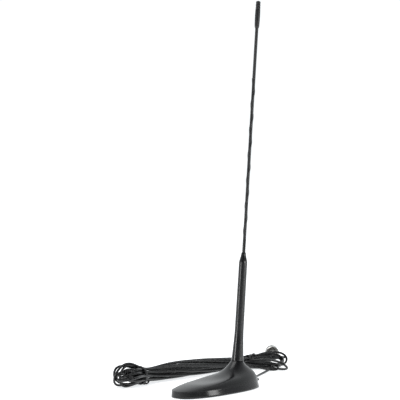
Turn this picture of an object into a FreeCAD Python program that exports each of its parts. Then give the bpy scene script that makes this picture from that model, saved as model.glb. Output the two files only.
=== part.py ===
import FreeCAD, Part
import math
import os

# Magnetic mount antenna for a car roof: a teardrop base with a raked, helically
# wound whip that screws into it, and a thin coaxial lead tied in a hank with a
# screw-on coaxial plug at its end. Millimetres, +Z up.
# The origin is on the floor, at the centre of the foot pad.
# The nose points along -X, the cable leaves at the tail along +X, and the hank
# lies behind the base on its +Y side.

Vector = FreeCAD.Vector

# Base housing
BASE_LENGTH = 131.0
BASE_WIDTH = 50.8
NOSE_LENGTH = 60.5
NOSE_POWER = 2.29
TAIL_POWER = 2.35
PLATFORM_HEIGHT = 31.9
PLATFORM_RADIUS = 7.45
SKIRT_HEIGHT = 8.2
SKIRT_BOTTOM = 0.6
SKIRT_DRAFT = 1.9
SHOULDER_INSET = 0.5
COVER_WALL = 2.2
ROOF_WALL = 2.0
MAST_TO_TAIL = 30.3
RAKE_DEG = 4.85

# Roof form: share of the rise made at the edge, along the slope and near the mast
EDGE_RISE_SIDE = 0.14
EDGE_RISE_NOSE = 0.14
EDGE_RISE_TAIL = 0.35
SLOPE_RISE_SIDE = 0.43
SLOPE_RISE_NOSE = 0.0
SLOPE_RISE_TAIL = 0.55
EDGE_POWER = 8.0
PEAK_POWER = 4.75
LEAN_POWER = 4.0
ROOF_LEVELS = 11
OUTLINE_POINTS = 44

# Bottom plate, foot pad and magnet
PAD_THICKNESS = 1.2
PLATE_THICKNESS = 2.0
PLATE_CLEARANCE = 0.2
PAD_INSET = 0.4
MAGNET_X = -16.0
MAGNET_RADIUS = 17.0
MAGNET_BORE = 4.0
MAGNET_THICKNESS = 4.0
CUP_WALL = 1.6
CUP_FLANGE = 1.6
CUP_FLANGE_THICKNESS = 0.9
FIT_GAP = 0.05

# Screws that hold the plate to the cover
SCREW_RADIUS = 1.25
SCREW_HEAD_RADIUS = 2.4
SCREW_HEAD_HEIGHT = 1.3
SCREW_LENGTH = 6.4
SCREW_TIP_GAP = 0.3
SCREW_PASS_GAP = 0.15
SCREW_SLOT = 0.7
SCREW_SLOT_DEPTH = 0.6
BOSS_RADIUS = 3.1
NOSE_SCREW_X = -51.5
MID_SCREW_X = 12.0
MID_SCREW_Y = 18.6
TAIL_SCREW_X = 52.5
TAIL_SCREW_Y = 9.6

# Mast socket under the platform, measured along the raked mast axis
SOCKET_RADIUS = 4.4
SOCKET_LENGTH = 12.0
SOCKET_HEX_FLATS = 10.0
SOCKET_HEX_HEIGHT = 3.2
SOCKET_BOSS_RADIUS = 6.6
SOCKET_RECESS = 0.3
TAG_THICKNESS = 0.5
TAG_RADIUS = 6.4
TAG_TONGUE_LENGTH = 12.0
TAG_TONGUE_WIDTH = 3.4
STUD_RADIUS = 3.0
THREAD_GAP = 0.05
STUD_DEPTH = 8.0
STUD_TIP_GAP = 1.2
TAG_EYE_INSET = 1.6

# Matching board and what it carries
BOARD_LENGTH = 34.0
BOARD_WIDTH = 22.0
BOARD_THICKNESS = 1.6
BOARD_X = 24.5
BOARD_POST_HEIGHT = 0.8
BOARD_POST_RADIUS = 1.6
COIL_RADIUS = 3.4
COIL_CORE_RADIUS = 2.6
COIL_BORE = 1.0
COIL_TURNS = 8
COIL_WIRE = 0.8
COIL_FLANGE = 0.9
COIL_X = 14.0
CAPACITOR_RADIUS = 2.9
CAPACITOR_THICKNESS = 2.0
CAPACITOR_X = 19.5
CAPACITOR_Y = -6.0
FEED_WIRE_RADIUS = 0.5

# Mast, measured along its axis from the platform
SEAL_THICKNESS = 0.8
SEAL_OUTER = 6.7
SEAL_INNER = 3.6
SEAL_GAP = 0.02
BOOT_LENGTH = 126.5
BOOT_FOOT_RADIUS = 7.25
BOOT_WAIST_RADIUS = 5.25
BOOT_SHOULDER_RADIUS = 4.85
BOOT_MOUTH_RADIUS = 2.35
BOOT_FLARE_LENGTH = 36.0
BOOT_SHOULDER_LENGTH = 12.5
INSERT_RADIUS = 4.2
INSERT_LENGTH = 26.0
INSERT_STUD_DEPTH = 12.0
ROD_RADIUS = 1.0
ROD_SOCKET_DEPTH = 11.0
SLEEVE_RADIUS = 1.85
SLEEVE_BURIED = 20.0
RIDGE_HEIGHT = 0.45
RIDGE_WIDTH_DEG = 40.0
RIDGE_START = 141.0
RIDGE_TURNS = 6.4
RIDGE_PITCH = 29.6
WIRE_RADIUS = 0.1
PLAIN_STEP = 0.03
CAP_START = 389.5
CAP_TOP = 421.8
CAP_MOUTH_RADIUS = 2.15
CAP_FOOT_RADIUS = 2.75
CAP_BELLY_RADIUS = 3.05
CAP_TIP_RADIUS = 2.7
CAP_BELLY_BELOW_TOP = 17.0
CAP_GROOVE_DEPTH = 0.4
CAP_GROOVE_WIDTH = 1.3
CAP_GROOVES = 3
CAP_GROOVE_PITCH = 3.1
CAP_GROOVE_BELOW_TOP = 3.6
CAP_BORE_DEPTH = 14.0

# Lead, with the points of its route chosen by hand
CORD_RADIUS = 1.4
CORD_EXIT_HEIGHT = 6.1
GROMMET_RADIUS = 2.8
GROMMET_FLANGE_RADIUS = 3.3
GROMMET_FLANGE = 1.1
GROMMET_NOSE = 1.0
GROMMET_NOSE_RADIUS = 1.95
GROMMET_SEAT_DEPTH = 1.5
CLAMP_X = 46.5
CLAMP_LENGTH = 5.0
CLAMP_WIDTH = 15.0
CLAMP_HEIGHT = 5.2
CLAMP_SCREW_Y = 5.3
CLAMP_SCREW_RADIUS = 0.9
INNER_LEAD_START = 42.5

# Hank: centre line stations as X, Y, half width, half height, and the gap below each
HANK_STATIONS = [
    (-67.5, 98.0, 8.5, 9.0, 0.25),
    (-59.0, 97.5, 16.0, 13.0, 0.25),
    (-46.0, 99.0, 17.5, 14.0, 0.25),
    (-33.0, 100.0, 12.5, 11.3, 1.0),
    (-21.0, 101.0, 8.2, 8.4, 2.25),
    (-3.0, 103.5, 9.5, 8.8, 1.0),
    (35.0, 106.0, 14.0, 10.2, 0.25),
    (78.0, 107.0, 15.0, 10.6, 0.25),
    (118.0, 104.0, 12.0, 9.2, 0.6),
    (146.0, 99.0, 8.6, 7.2, 1.6),
    (158.0, 95.5, 7.8, 6.8, 2.25),
    (170.0, 88.5, 13.5, 8.3, 1.4),
    (181.0, 79.5, 21.0, 9.2, 0.25),
    (190.5, 71.0, 20.0, 9.2, 0.25),
    (198.0, 63.5, 11.0, 7.0, 0.25),
]
HANK_RING_POINTS = 12
LEFT_TIE_STATION = 4
RIGHT_TIE_STATION = 10

# Plug at the far end of the lead: the centre of its mouth, and the way its body runs back
PLUG_X = 246.0
PLUG_Y = 134.0
PLUG_HEADING_DEG = 225.0
NUT_RADIUS = 9.0
NUT_BORE = 7.9
NUT_LENGTH = 17.0
NUT_COLLAR_BORE = 6.2
NUT_COLLAR = 2.2
NUT_KNURLS = 30
NUT_KNURL_DEPTH = 0.45
PLUG_FLOOR_GAP = 0.12
PLUG_BODY_RADIUS = 6.05
PLUG_HEAD_RADIUS = 7.4
PLUG_HEAD_LENGTH = 2.5
PLUG_BODY_LENGTH = 26.0
PLUG_RIM_BORE = 4.9
PIN_RADIUS = 2.0
PIN_LENGTH = 11.5
PIN_RECESS = 1.5
REDUCER_RADIUS = 5.0
REDUCER_FLANGE_RADIUS = 5.6
REDUCER_INSIDE = 9.0
REDUCER_OUTSIDE = 6.0

# Wire ties round the two ends of the hank
TIE_RADIUS = 0.9
TIE_GAP = 0.35
TIE_TURNS = 3
TIE_PITCH = 1.6
TIE_TAIL_RADIUS = 0.75
TIE_TAIL_REACH = 2.6
LEFT_TAIL_DEG = 125.0
RIGHT_TAIL_DEG = 70.0

# Values worked out from the ones above
TAIL_X = BASE_LENGTH / 2
NOSE_X = -BASE_LENGTH / 2
WIDEST_X = NOSE_X + NOSE_LENGTH
MAST_X = TAIL_X - MAST_TO_TAIL
PLATE_TOP = PAD_THICKNESS + PLATE_THICKNESS
PLUG_Z = NUT_RADIUS + PLUG_FLOOR_GAP
BORE_RADIUS = CORD_RADIUS + FIT_GAP


def save(node, shape):
    # one STEP file per piece, with its volume printed as a quick check
    shape.exportStep("parts/" + node + ".step")
    print(node, len(shape.Solids), round(shape.Volume, 2), shape.isValid())


def cylinder(radius, height, base, axis):
    return Part.makeCylinder(radius, height, base, axis)


def up(radius, z_low, z_high, x=0.0, y=0.0):
    return cylinder(radius, z_high - z_low, Vector(x, y, z_low), Vector(0, 0, 1))


def on_mast(shape):
    # from the mast's own frame to the raked place on the platform
    turned = shape.copy()
    place = FreeCAD.Placement(
        Vector(MAST_X, 0, PLATFORM_HEIGHT),
        FreeCAD.Rotation(Vector(0, 1, 0), RAKE_DEG),
    )
    turned.Placement = place.multiply(turned.Placement)
    return turned


def on_plug(shape):
    # from +Z to the plug's axis, which runs back from its mouth
    turned = shape.copy()
    heading = math.radians(PLUG_HEADING_DEG)
    back = Vector(math.cos(heading), math.sin(heading), 0)
    place = FreeCAD.Placement(Vector(PLUG_X, PLUG_Y, PLUG_Z), FreeCAD.Rotation(Vector(0, 0, 1), back))
    turned.Placement = place.multiply(turned.Placement)
    return turned


def outline_point(turn, inset):
    # teardrop outline: rounded nose and tail with their own lengths and fullness
    across = math.sin(turn)
    along = math.cos(turn)
    if along < 0:
        length = NOSE_LENGTH - inset
        power = 2 / NOSE_POWER
    else:
        length = BASE_LENGTH - NOSE_LENGTH - inset
        power = 2 / TAIL_POWER
    x = WIDEST_X + math.copysign(length * abs(along) ** power, along)
    y = math.copysign((BASE_WIDTH / 2 - inset) * abs(across) ** power, across)
    return x, y


def closed_curve(points):
    curve = Part.BSplineCurve()
    curve.interpolate(Points=points, PeriodicFlag=True)
    return Part.Wire(curve.toShape())


def turns():
    return [2 * math.pi * i / OUTLINE_POINTS for i in range(OUTLINE_POINTS)]


def plan_wire(inset, z):
    points = [outline_point(turn, inset) for turn in turns()]
    return closed_curve([Vector(x, y, z) for x, y in points])


def plan_slab(inset, z_low, z_high):
    return Part.Face(plan_wire(inset, z_low)).extrude(Vector(0, 0, z_high - z_low))


def roof_share(turn, v):
    # share of the roof's rise reached at v, from 0 at the edge to 1 at the platform
    nose = ((1 - math.cos(turn)) / 2) ** 2
    tail = ((1 + math.cos(turn)) / 2) ** 2
    edge = EDGE_RISE_SIDE + (EDGE_RISE_NOSE - EDGE_RISE_SIDE) * nose
    edge = edge + (EDGE_RISE_TAIL - EDGE_RISE_SIDE) * tail
    slope = SLOPE_RISE_SIDE + (SLOPE_RISE_NOSE - SLOPE_RISE_SIDE) * nose
    slope = slope + (SLOPE_RISE_TAIL - SLOPE_RISE_SIDE) * tail
    rise = edge * (1 - (1 - v) ** EDGE_POWER) + slope * v
    return rise + (1 - edge - slope) * v ** PEAK_POWER


def roof_reach(turn, share):
    # the v at which the roof has made a given share of its rise
    low = 0.0
    high = 1.0
    for _ in range(40):
        middle = (low + high) / 2
        if roof_share(turn, middle) < share:
            low = middle
        else:
            high = middle
    return (low + high) / 2


def roof_wire(share, inset, z_edge, z_top, top_radius):
    # level curve of the roof, which leans over to the raked platform near its top
    points = []
    lean = math.tan(math.radians(RAKE_DEG)) * share ** LEAN_POWER
    for turn in turns():
        edge_x, edge_y = outline_point(turn, inset)
        v = roof_reach(turn, share)
        x = edge_x + (MAST_X + top_radius * math.cos(turn) - edge_x) * v
        y = edge_y + (top_radius * math.sin(turn) - edge_y) * v
        points.append(Vector(x, y, z_edge + (z_top - z_edge) * share - lean * (x - MAST_X)))
    return closed_curve(points)


def mound(inset, drop, z_low, top_radius):
    # skirt and roof as one closed form, used for the outside and for the hollow
    z_edge = SKIRT_HEIGHT - drop
    z_top = PLATFORM_HEIGHT - drop
    skirt = Part.makeLoft(
        [plan_wire(inset, z_low), plan_wire(inset + SKIRT_DRAFT, z_edge)], True, True
    )
    wires = []
    for i in range(ROOF_LEVELS):
        share = (i / (ROOF_LEVELS - 1)) ** 1.7
        wires.append(
            roof_wire(share, inset + SKIRT_DRAFT + SHOULDER_INSET * share, z_edge, z_top, top_radius)
        )
    roof = Part.makeLoft(wires, True, False)
    return skirt, roof


def screw_places():
    return [
        (NOSE_SCREW_X, 0.0),
        (MID_SCREW_X, MID_SCREW_Y),
        (MID_SCREW_X, -MID_SCREW_Y),
        (TAIL_SCREW_X, TAIL_SCREW_Y),
        (TAIL_SCREW_X, -TAIL_SCREW_Y),
    ]


def grommet_hole():
    # hole in the tail with a flat seat for the bushing's flange
    along_x = Vector(1, 0, 0)
    hole = cylinder(GROMMET_RADIUS + FIT_GAP, 20, Vector(TAIL_X - 12, 0, CORD_EXIT_HEIGHT), along_x)
    seat_x = TAIL_X - GROMMET_SEAT_DEPTH
    seat = cylinder(GROMMET_FLANGE_RADIUS + FIT_GAP, 10, Vector(seat_x, 0, CORD_EXIT_HEIGHT), along_x)
    return hole.fuse(seat)


def base_cover():
    skirt, roof = mound(0.0, 0.0, SKIRT_BOTTOM, PLATFORM_RADIUS)
    outside = skirt.fuse(roof).cut(grommet_hole())
    hollow_skirt, hollow_roof = mound(COVER_WALL, ROOF_WALL, SKIRT_BOTTOM - 1, PLATFORM_RADIUS - COVER_WALL)
    cover = outside.cut(hollow_skirt).cut(hollow_roof)
    inner = []
    for x, y in screw_places():
        inner.append(up(BOSS_RADIUS, PLATE_TOP, PLATFORM_HEIGHT, x, y))
    boss = on_mast(cylinder(SOCKET_BOSS_RADIUS, SOCKET_LENGTH, Vector(0, 0, -SOCKET_LENGTH), Vector(0, 0, 1)))
    inner.append(boss)
    for form in inner:
        cover = cover.fuse(form.common(outside))
    for x, y in screw_places():
        cover = cover.cut(up(SCREW_RADIUS + FIT_GAP, 0, PAD_THICKNESS + SCREW_LENGTH + SCREW_TIP_GAP, x, y))
    bore = up(SOCKET_RADIUS + FIT_GAP, -1.5 * SOCKET_LENGTH, SOCKET_LENGTH)
    return cover.cut(on_mast(bore))


def hollow_inset(z):
    # how far inside the outline the cover's inner wall stands at one height
    low = SKIRT_BOTTOM - 1
    return COVER_WALL + SKIRT_DRAFT * (z - low) / (SKIRT_HEIGHT - ROOF_WALL - low)


def base_plate():
    plate = plan_slab(hollow_inset(PLATE_TOP) + PLATE_CLEARANCE, PAD_THICKNESS, PLATE_TOP)
    cup = MAGNET_RADIUS + CUP_WALL + FIT_GAP * 2
    plate = plate.cut(up(cup, 0, PLATE_TOP + 1, MAGNET_X))
    for x, y in screw_places():
        plate = plate.cut(up(SCREW_RADIUS + SCREW_PASS_GAP, 0, PLATE_TOP + 1, x, y))
        plate = plate.cut(up(SCREW_HEAD_RADIUS + SCREW_PASS_GAP, 0, PAD_THICKNESS + SCREW_HEAD_HEIGHT, x, y))
    for x, y in board_posts():
        plate = plate.fuse(up(BOARD_POST_RADIUS, PLATE_TOP - 0.5, PLATE_TOP + BOARD_POST_HEIGHT, x, y))
    for side in (-1, 1):
        plate = plate.cut(up(CLAMP_SCREW_RADIUS + FIT_GAP, 0, PLATE_TOP + 1, CLAMP_X, side * CLAMP_SCREW_Y))
    return plate


def board_posts():
    reach_x = BOARD_LENGTH / 2 - 3.0
    reach_y = BOARD_WIDTH / 2 - 3.0
    return [(BOARD_X + i * reach_x, j * reach_y) for i in (-1, 1) for j in (-1, 1)]


def foot_pad():
    return plan_slab(hollow_inset(PAD_THICKNESS) + PAD_INSET, 0, PAD_THICKNESS)


def magnet_cup():
    radius = MAGNET_RADIUS + CUP_WALL
    top = PAD_THICKNESS + MAGNET_THICKNESS + CUP_WALL
    cup = up(radius, PAD_THICKNESS, top, MAGNET_X)
    flange = up(radius + CUP_FLANGE, PLATE_TOP, PLATE_TOP + CUP_FLANGE_THICKNESS, MAGNET_X)
    hollow = up(MAGNET_RADIUS + FIT_GAP, 0, PAD_THICKNESS + MAGNET_THICKNESS, MAGNET_X)
    return cup.fuse(flange).cut(hollow).removeSplitter()


def magnet_ring():
    ring = up(MAGNET_RADIUS, PAD_THICKNESS, PAD_THICKNESS + MAGNET_THICKNESS, MAGNET_X)
    return ring.cut(up(MAGNET_BORE, 0, PLATE_TOP + 10, MAGNET_X))


def base_screws():
    screws = []
    for x, y in screw_places():
        head = up(SCREW_HEAD_RADIUS, PAD_THICKNESS, PAD_THICKNESS + SCREW_HEAD_HEIGHT, x, y)
        shank = up(SCREW_RADIUS, PAD_THICKNESS, PAD_THICKNESS + SCREW_LENGTH, x, y)
        slot = Part.makeBox(
            SCREW_SLOT, 2 * SCREW_HEAD_RADIUS - 1.6, SCREW_SLOT_DEPTH,
            Vector(x - SCREW_SLOT / 2, y - SCREW_HEAD_RADIUS + 0.8, PAD_THICKNESS),
        )
        screws.append(head.fuse(shank).cut(slot).removeSplitter())
    return Part.makeCompound(screws)


def hexagon(flats, z_low, z_high):
    corner = flats / 2 / math.cos(math.radians(30))
    points = []
    for i in range(7):
        turn = math.radians(60 * i)
        points.append(Vector(corner * math.cos(turn), corner * math.sin(turn), z_low))
    return Part.Face(Part.makePolygon(points)).extrude(Vector(0, 0, z_high - z_low))


def mast_socket():
    low = -SOCKET_LENGTH - TAG_THICKNESS
    shank = cylinder(SOCKET_RADIUS, -SOCKET_RECESS - low, Vector(0, 0, low), Vector(0, 0, 1))
    head = hexagon(SOCKET_HEX_FLATS, low - SOCKET_HEX_HEIGHT, low)
    thread = up(STUD_RADIUS + THREAD_GAP, -STUD_DEPTH - STUD_TIP_GAP, 0)
    return on_mast(shank.fuse(head).cut(thread).removeSplitter())


def solder_tag():
    low = -SOCKET_LENGTH - TAG_THICKNESS
    ring = cylinder(TAG_RADIUS, TAG_THICKNESS, Vector(0, 0, low), Vector(0, 0, 1))
    tongue = Part.makeBox(
        TAG_TONGUE_LENGTH, TAG_TONGUE_WIDTH, TAG_THICKNESS,
        Vector(-TAG_TONGUE_LENGTH, -TAG_TONGUE_WIDTH / 2, low),
    )
    hole = cylinder(SOCKET_RADIUS + FIT_GAP, 2, Vector(0, 0, low - 1), Vector(0, 0, 1))
    eye = up(FEED_WIRE_RADIUS + FIT_GAP, low - 1, low + 1, TAG_EYE_INSET - TAG_TONGUE_LENGTH)
    return on_mast(ring.fuse(tongue).cut(hole).cut(eye).removeSplitter())


def board_top():
    return PLATE_TOP + BOARD_POST_HEIGHT + BOARD_THICKNESS


def feed_wire():
    # straight copper lead from the matching board up through the eye of the tag
    low = -SOCKET_LENGTH - TAG_THICKNESS
    eye = on_mast(Part.Vertex(Vector(TAG_EYE_INSET - TAG_TONGUE_LENGTH, 0, low + TAG_THICKNESS + 0.8))).Point
    axis = Vector(math.sin(math.radians(RAKE_DEG)), 0, math.cos(math.radians(RAKE_DEG)))
    length = (eye.z - board_top()) / axis.z - 0.1
    wire = cylinder(FEED_WIRE_RADIUS, length, eye - axis * length, axis)
    return wire


def match_board():
    board = Part.makeBox(
        BOARD_LENGTH, BOARD_WIDTH, BOARD_THICKNESS,
        Vector(BOARD_X - BOARD_LENGTH / 2, -BOARD_WIDTH / 2, board_top() - BOARD_THICKNESS),
    )
    upright = [edge for edge in board.Edges if abs(edge.Vertexes[0].Z - edge.Vertexes[-1].Z) > 1]
    return board.makeFillet(1.5, upright)


def coil_length():
    return COIL_TURNS * COIL_WIRE


def coil_former():
    # spool standing on the board
    z = board_top()
    top = z + coil_length() + 2 * COIL_FLANGE
    spool = up(COIL_RADIUS, z, z + COIL_FLANGE, COIL_X)
    spool = spool.fuse(up(COIL_CORE_RADIUS, z, top, COIL_X))
    spool = spool.fuse(up(COIL_RADIUS, top - COIL_FLANGE, top, COIL_X))
    return spool.cut(up(COIL_BORE, z - 1, top + 1, COIL_X)).removeSplitter()


def coil_winding():
    # turns that lie close on each other, as one rounded ridge a turn
    inner = COIL_CORE_RADIUS + FIT_GAP / 2
    z = board_top() + COIL_FLANGE
    edges = []
    low = Vector(COIL_X + inner, 0, z)
    outer = inner + COIL_WIRE * 0.4
    start = Vector(COIL_X + outer, 0, z)
    edges.append(Part.LineSegment(low, start).toShape())
    for i in range(COIL_TURNS):
        a = Vector(COIL_X + outer, 0, z + i * COIL_WIRE)
        b = Vector(COIL_X + outer + COIL_WIRE * 0.3, 0, z + (i + 0.5) * COIL_WIRE)
        c = Vector(COIL_X + outer, 0, z + (i + 1) * COIL_WIRE)
        edges.append(Part.Arc(a, b, c).toShape())
    high = Vector(COIL_X + inner, 0, z + coil_length())
    edges.append(Part.LineSegment(c, high).toShape())
    edges.append(Part.LineSegment(high, low).toShape())
    face = Part.Face(Part.Wire(edges))
    return face.revolve(Vector(COIL_X, 0, 0), Vector(0, 0, 1), 360)


def tuning_capacitor():
    # ceramic disc standing on its two legs
    leg = 1.6
    z = board_top()
    centre = Vector(CAPACITOR_X, CAPACITOR_Y, z + leg + CAPACITOR_RADIUS - 0.4)
    half = CAPACITOR_THICKNESS / 2
    disc = cylinder(CAPACITOR_RADIUS, CAPACITOR_THICKNESS, centre - Vector(0, half, 0), Vector(0, 1, 0))
    rims = [edge for edge in disc.Edges if edge.Closed]
    disc = disc.makeFillet(half * 0.8, rims)
    for side in (-1, 1):
        disc = disc.fuse(up(0.3, z, centre.z, CAPACITOR_X + side * 1.4, CAPACITOR_Y))
    return disc


def cable_grommet():
    along_x = Vector(1, 0, 0)
    seat_x = TAIL_X - GROMMET_SEAT_DEPTH
    z = CORD_EXIT_HEIGHT
    inside_x = TAIL_X - COVER_WALL - GROMMET_SEAT_DEPTH - 1.4
    neck = cylinder(GROMMET_RADIUS, seat_x - inside_x, Vector(inside_x, 0, z), along_x)
    flange = cylinder(GROMMET_FLANGE_RADIUS, GROMMET_FLANGE, Vector(seat_x, 0, z), along_x)
    face = Vector(seat_x + GROMMET_FLANGE, 0, z)
    nose = Part.makeCone(GROMMET_RADIUS - 0.2, GROMMET_NOSE_RADIUS, GROMMET_NOSE, face, along_x)
    bore = cylinder(BORE_RADIUS, 30, Vector(TAIL_X - 15, 0, z), along_x)
    return neck.fuse(flange).fuse(nose).cut(bore).removeSplitter()


def grommet_end():
    return TAIL_X - GROMMET_SEAT_DEPTH + GROMMET_FLANGE + GROMMET_NOSE


def cable_clamp():
    block = Part.makeBox(
        CLAMP_LENGTH, CLAMP_WIDTH, CLAMP_HEIGHT,
        Vector(CLAMP_X - CLAMP_LENGTH / 2, -CLAMP_WIDTH / 2, PLATE_TOP),
    )
    top = [edge for edge in block.Edges if edge.CenterOfMass.z > PLATE_TOP + CLAMP_HEIGHT - 0.01]
    block = block.makeFillet(0.8, top)
    back_x = CLAMP_X - CLAMP_LENGTH / 2 - 1
    tunnel = cylinder(BORE_RADIUS, CLAMP_LENGTH + 2, Vector(back_x, 0, CORD_EXIT_HEIGHT), Vector(1, 0, 0))
    slot = Part.makeBox(
        CLAMP_LENGTH + 2, 2 * BORE_RADIUS, CORD_EXIT_HEIGHT - PLATE_TOP, Vector(back_x, -BORE_RADIUS, PLATE_TOP)
    )
    block = block.cut(tunnel).cut(slot)
    for side in (-1, 1):
        block = block.cut(up(CLAMP_SCREW_RADIUS + FIT_GAP, 0, PLATE_TOP + 9, CLAMP_X, side * CLAMP_SCREW_Y))
    return block


def clamp_screws():
    screws = []
    top = PLATE_TOP + CLAMP_HEIGHT
    for side in (-1, 1):
        y = side * CLAMP_SCREW_Y
        shank = up(CLAMP_SCREW_RADIUS, PAD_THICKNESS + 0.1, top, CLAMP_X, y)
        head = up(1.7, top, top + 1.1, CLAMP_X, y)
        slot = Part.makeBox(2.6, 0.5, 0.5, Vector(CLAMP_X - 1.3, y - 0.25, top + 0.6))
        screws.append(shank.fuse(head).cut(slot).removeSplitter())
    return Part.makeCompound(screws)


def inner_lead():
    # the lead inside the base, with its insulation and core bared towards the board
    along_x = Vector(1, 0, 0)
    z = CORD_EXIT_HEIGHT
    jacket = cylinder(CORD_RADIUS, grommet_end() - INNER_LEAD_START, Vector(INNER_LEAD_START, 0, z), along_x)
    core = cylinder(CORD_RADIUS / 2, 0.8, Vector(INNER_LEAD_START - 0.8, 0, z), along_x)
    return jacket.fuse(core).removeSplitter()


def boot_profile():
    # radius along the boot: flared foot, slim waist, slow taper, domed shoulder
    low = SEAL_THICKNESS
    foot = [
        Vector(BOOT_FOOT_RADIUS, 0, low),
        Vector(BOOT_FOOT_RADIUS - 0.75, 0, low + BOOT_FLARE_LENGTH * 0.27),
        Vector(BOOT_WAIST_RADIUS + 0.55, 0, low + BOOT_FLARE_LENGTH * 0.6),
        Vector(BOOT_WAIST_RADIUS, 0, low + BOOT_FLARE_LENGTH),
    ]
    shoulder_z = BOOT_LENGTH - BOOT_SHOULDER_LENGTH
    shoulder = [
        Vector(BOOT_SHOULDER_RADIUS, 0, shoulder_z),
        Vector(BOOT_SHOULDER_RADIUS - 0.75, 0, shoulder_z + BOOT_SHOULDER_LENGTH * 0.36),
        Vector(BOOT_MOUTH_RADIUS + 0.5, 0, BOOT_LENGTH - BOOT_SHOULDER_LENGTH * 0.18),
        Vector(BOOT_MOUTH_RADIUS, 0, BOOT_LENGTH),
    ]
    taper = shoulder[0] - foot[-1]
    lower = Part.BSplineCurve()
    lower.interpolate(Points=foot, InitialTangent=Vector(-0.12, 0, 1), FinalTangent=taper)
    upper = Part.BSplineCurve()
    upper.interpolate(Points=shoulder, InitialTangent=taper, FinalTangent=Vector(-0.6, 0, 1))
    edges = [
        Part.LineSegment(Vector(0, 0, low), foot[0]).toShape(),
        lower.toShape(),
        Part.LineSegment(foot[-1], shoulder[0]).toShape(),
        upper.toShape(),
        Part.LineSegment(shoulder[-1], Vector(0, 0, BOOT_LENGTH)).toShape(),
        Part.LineSegment(Vector(0, 0, BOOT_LENGTH), Vector(0, 0, low)).toShape(),
    ]
    return Part.Face(Part.Wire(edges))


def insert_top():
    return SEAL_THICKNESS + INSERT_LENGTH


def mast_boot():
    boot = boot_profile().revolve(Vector(0, 0, 0), Vector(0, 0, 1), 360)
    boot = boot.cut(up(INSERT_RADIUS + FIT_GAP, -1, insert_top()))
    boot = boot.cut(up(ROD_RADIUS + FIT_GAP, 0, BOOT_LENGTH + 1))
    sleeve_low = BOOT_LENGTH - SLEEVE_BURIED
    boot = boot.cut(up(SLEEVE_RADIUS + PLAIN_STEP + FIT_GAP, sleeve_low, BOOT_LENGTH + 1))
    return on_mast(boot)


def boot_insert():
    low = SEAL_THICKNESS
    insert = up(INSERT_RADIUS, low, insert_top())
    insert = insert.cut(up(STUD_RADIUS + FIT_GAP, low - 1, low + INSERT_STUD_DEPTH + 0.2))
    insert = insert.cut(up(ROD_RADIUS + FIT_GAP, insert_top() - ROD_SOCKET_DEPTH, insert_top() + 1))
    groove = up(INSERT_RADIUS + 1, low + 15, low + 17).cut(up(INSERT_RADIUS - 0.5, low + 14, low + 18))
    return on_mast(insert.cut(groove))


def mast_stud():
    stud = up(STUD_RADIUS, -STUD_DEPTH, SEAL_THICKNESS + INSERT_STUD_DEPTH)
    rims = [edge for edge in stud.Edges if edge.Closed]
    return on_mast(stud.makeChamfer(0.6, rims))


def seal_ring():
    ring = up(SEAL_OUTER, SEAL_GAP, SEAL_THICKNESS - SEAL_GAP)
    return on_mast(ring.cut(up(SEAL_INNER, SEAL_GAP - 1, SEAL_THICKNESS + 1)))


def whip_rod():
    low = insert_top() - ROD_SOCKET_DEPTH + 0.1
    return on_mast(up(ROD_RADIUS, low, CAP_TOP - CAP_BORE_DEPTH * 0.6))


def ridged_section(radius, height, width_deg, z):
    # round section with one smooth bump
    points = []
    steps = 16
    for i in range(steps):
        turn = 360.0 * i / steps
        off = (turn + 180) % 360 - 180
        bump = height * math.exp(-((off / width_deg) ** 2))
        angle = math.radians(turn)
        r = radius + bump
        points.append(Vector(r * math.cos(angle), r * math.sin(angle), z))
    return closed_curve(points)


def twisted(section, z_low, height, pitch):
    # the section rises straight and turns once every pitch
    spine = Part.Wire(Part.LineSegment(Vector(0, 0, z_low), Vector(0, 0, z_low + height)).toShape())
    guide = Part.makeHelix(pitch, height, SLEEVE_RADIUS)
    guide.translate(Vector(0, 0, z_low))
    sweep = Part.BRepOffsetAPI.MakePipeShell(spine)
    sweep.setAuxiliarySpine(Part.Wire(guide.Edges), True, 0)
    sweep.add(section)
    sweep.build()
    sweep.makeSolid()
    return Part.Solid(sweep.shape())


def ridge_height():
    return RIDGE_TURNS * RIDGE_PITCH


def sleeve_bore():
    return ROD_RADIUS + 2 * (WIRE_RADIUS + FIT_GAP)


def whip_sleeve():
    # tight tube over the rod and its wire, which shows through as one wound ridge
    ridge_end = RIDGE_START + ridge_height()
    section = ridged_section(SLEEVE_RADIUS, RIDGE_HEIGHT, RIDGE_WIDTH_DEG, RIDGE_START)
    sleeve = twisted(section, RIDGE_START, ridge_height(), RIDGE_PITCH)
    plain = SLEEVE_RADIUS + PLAIN_STEP
    sleeve = sleeve.fuse(up(plain, BOOT_LENGTH - SLEEVE_BURIED + 0.1, RIDGE_START))
    sleeve = sleeve.fuse(up(plain, ridge_end, CAP_START + 4.0))
    return on_mast(sleeve.cut(up(sleeve_bore(), 0, CAP_TOP)))


def whip_wire():
    # one long helix of square copper wire on the rod
    inner = ROD_RADIUS + FIT_GAP
    outer = inner + 2 * WIRE_RADIUS
    corners = [
        Vector(inner, -WIRE_RADIUS, RIDGE_START),
        Vector(outer, -WIRE_RADIUS, RIDGE_START),
        Vector(outer, WIRE_RADIUS, RIDGE_START),
        Vector(inner, WIRE_RADIUS, RIDGE_START),
    ]
    ring = Part.makePolygon(corners + [corners[0]])
    return on_mast(twisted(ring, RIDGE_START, ridge_height(), RIDGE_PITCH))


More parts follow.
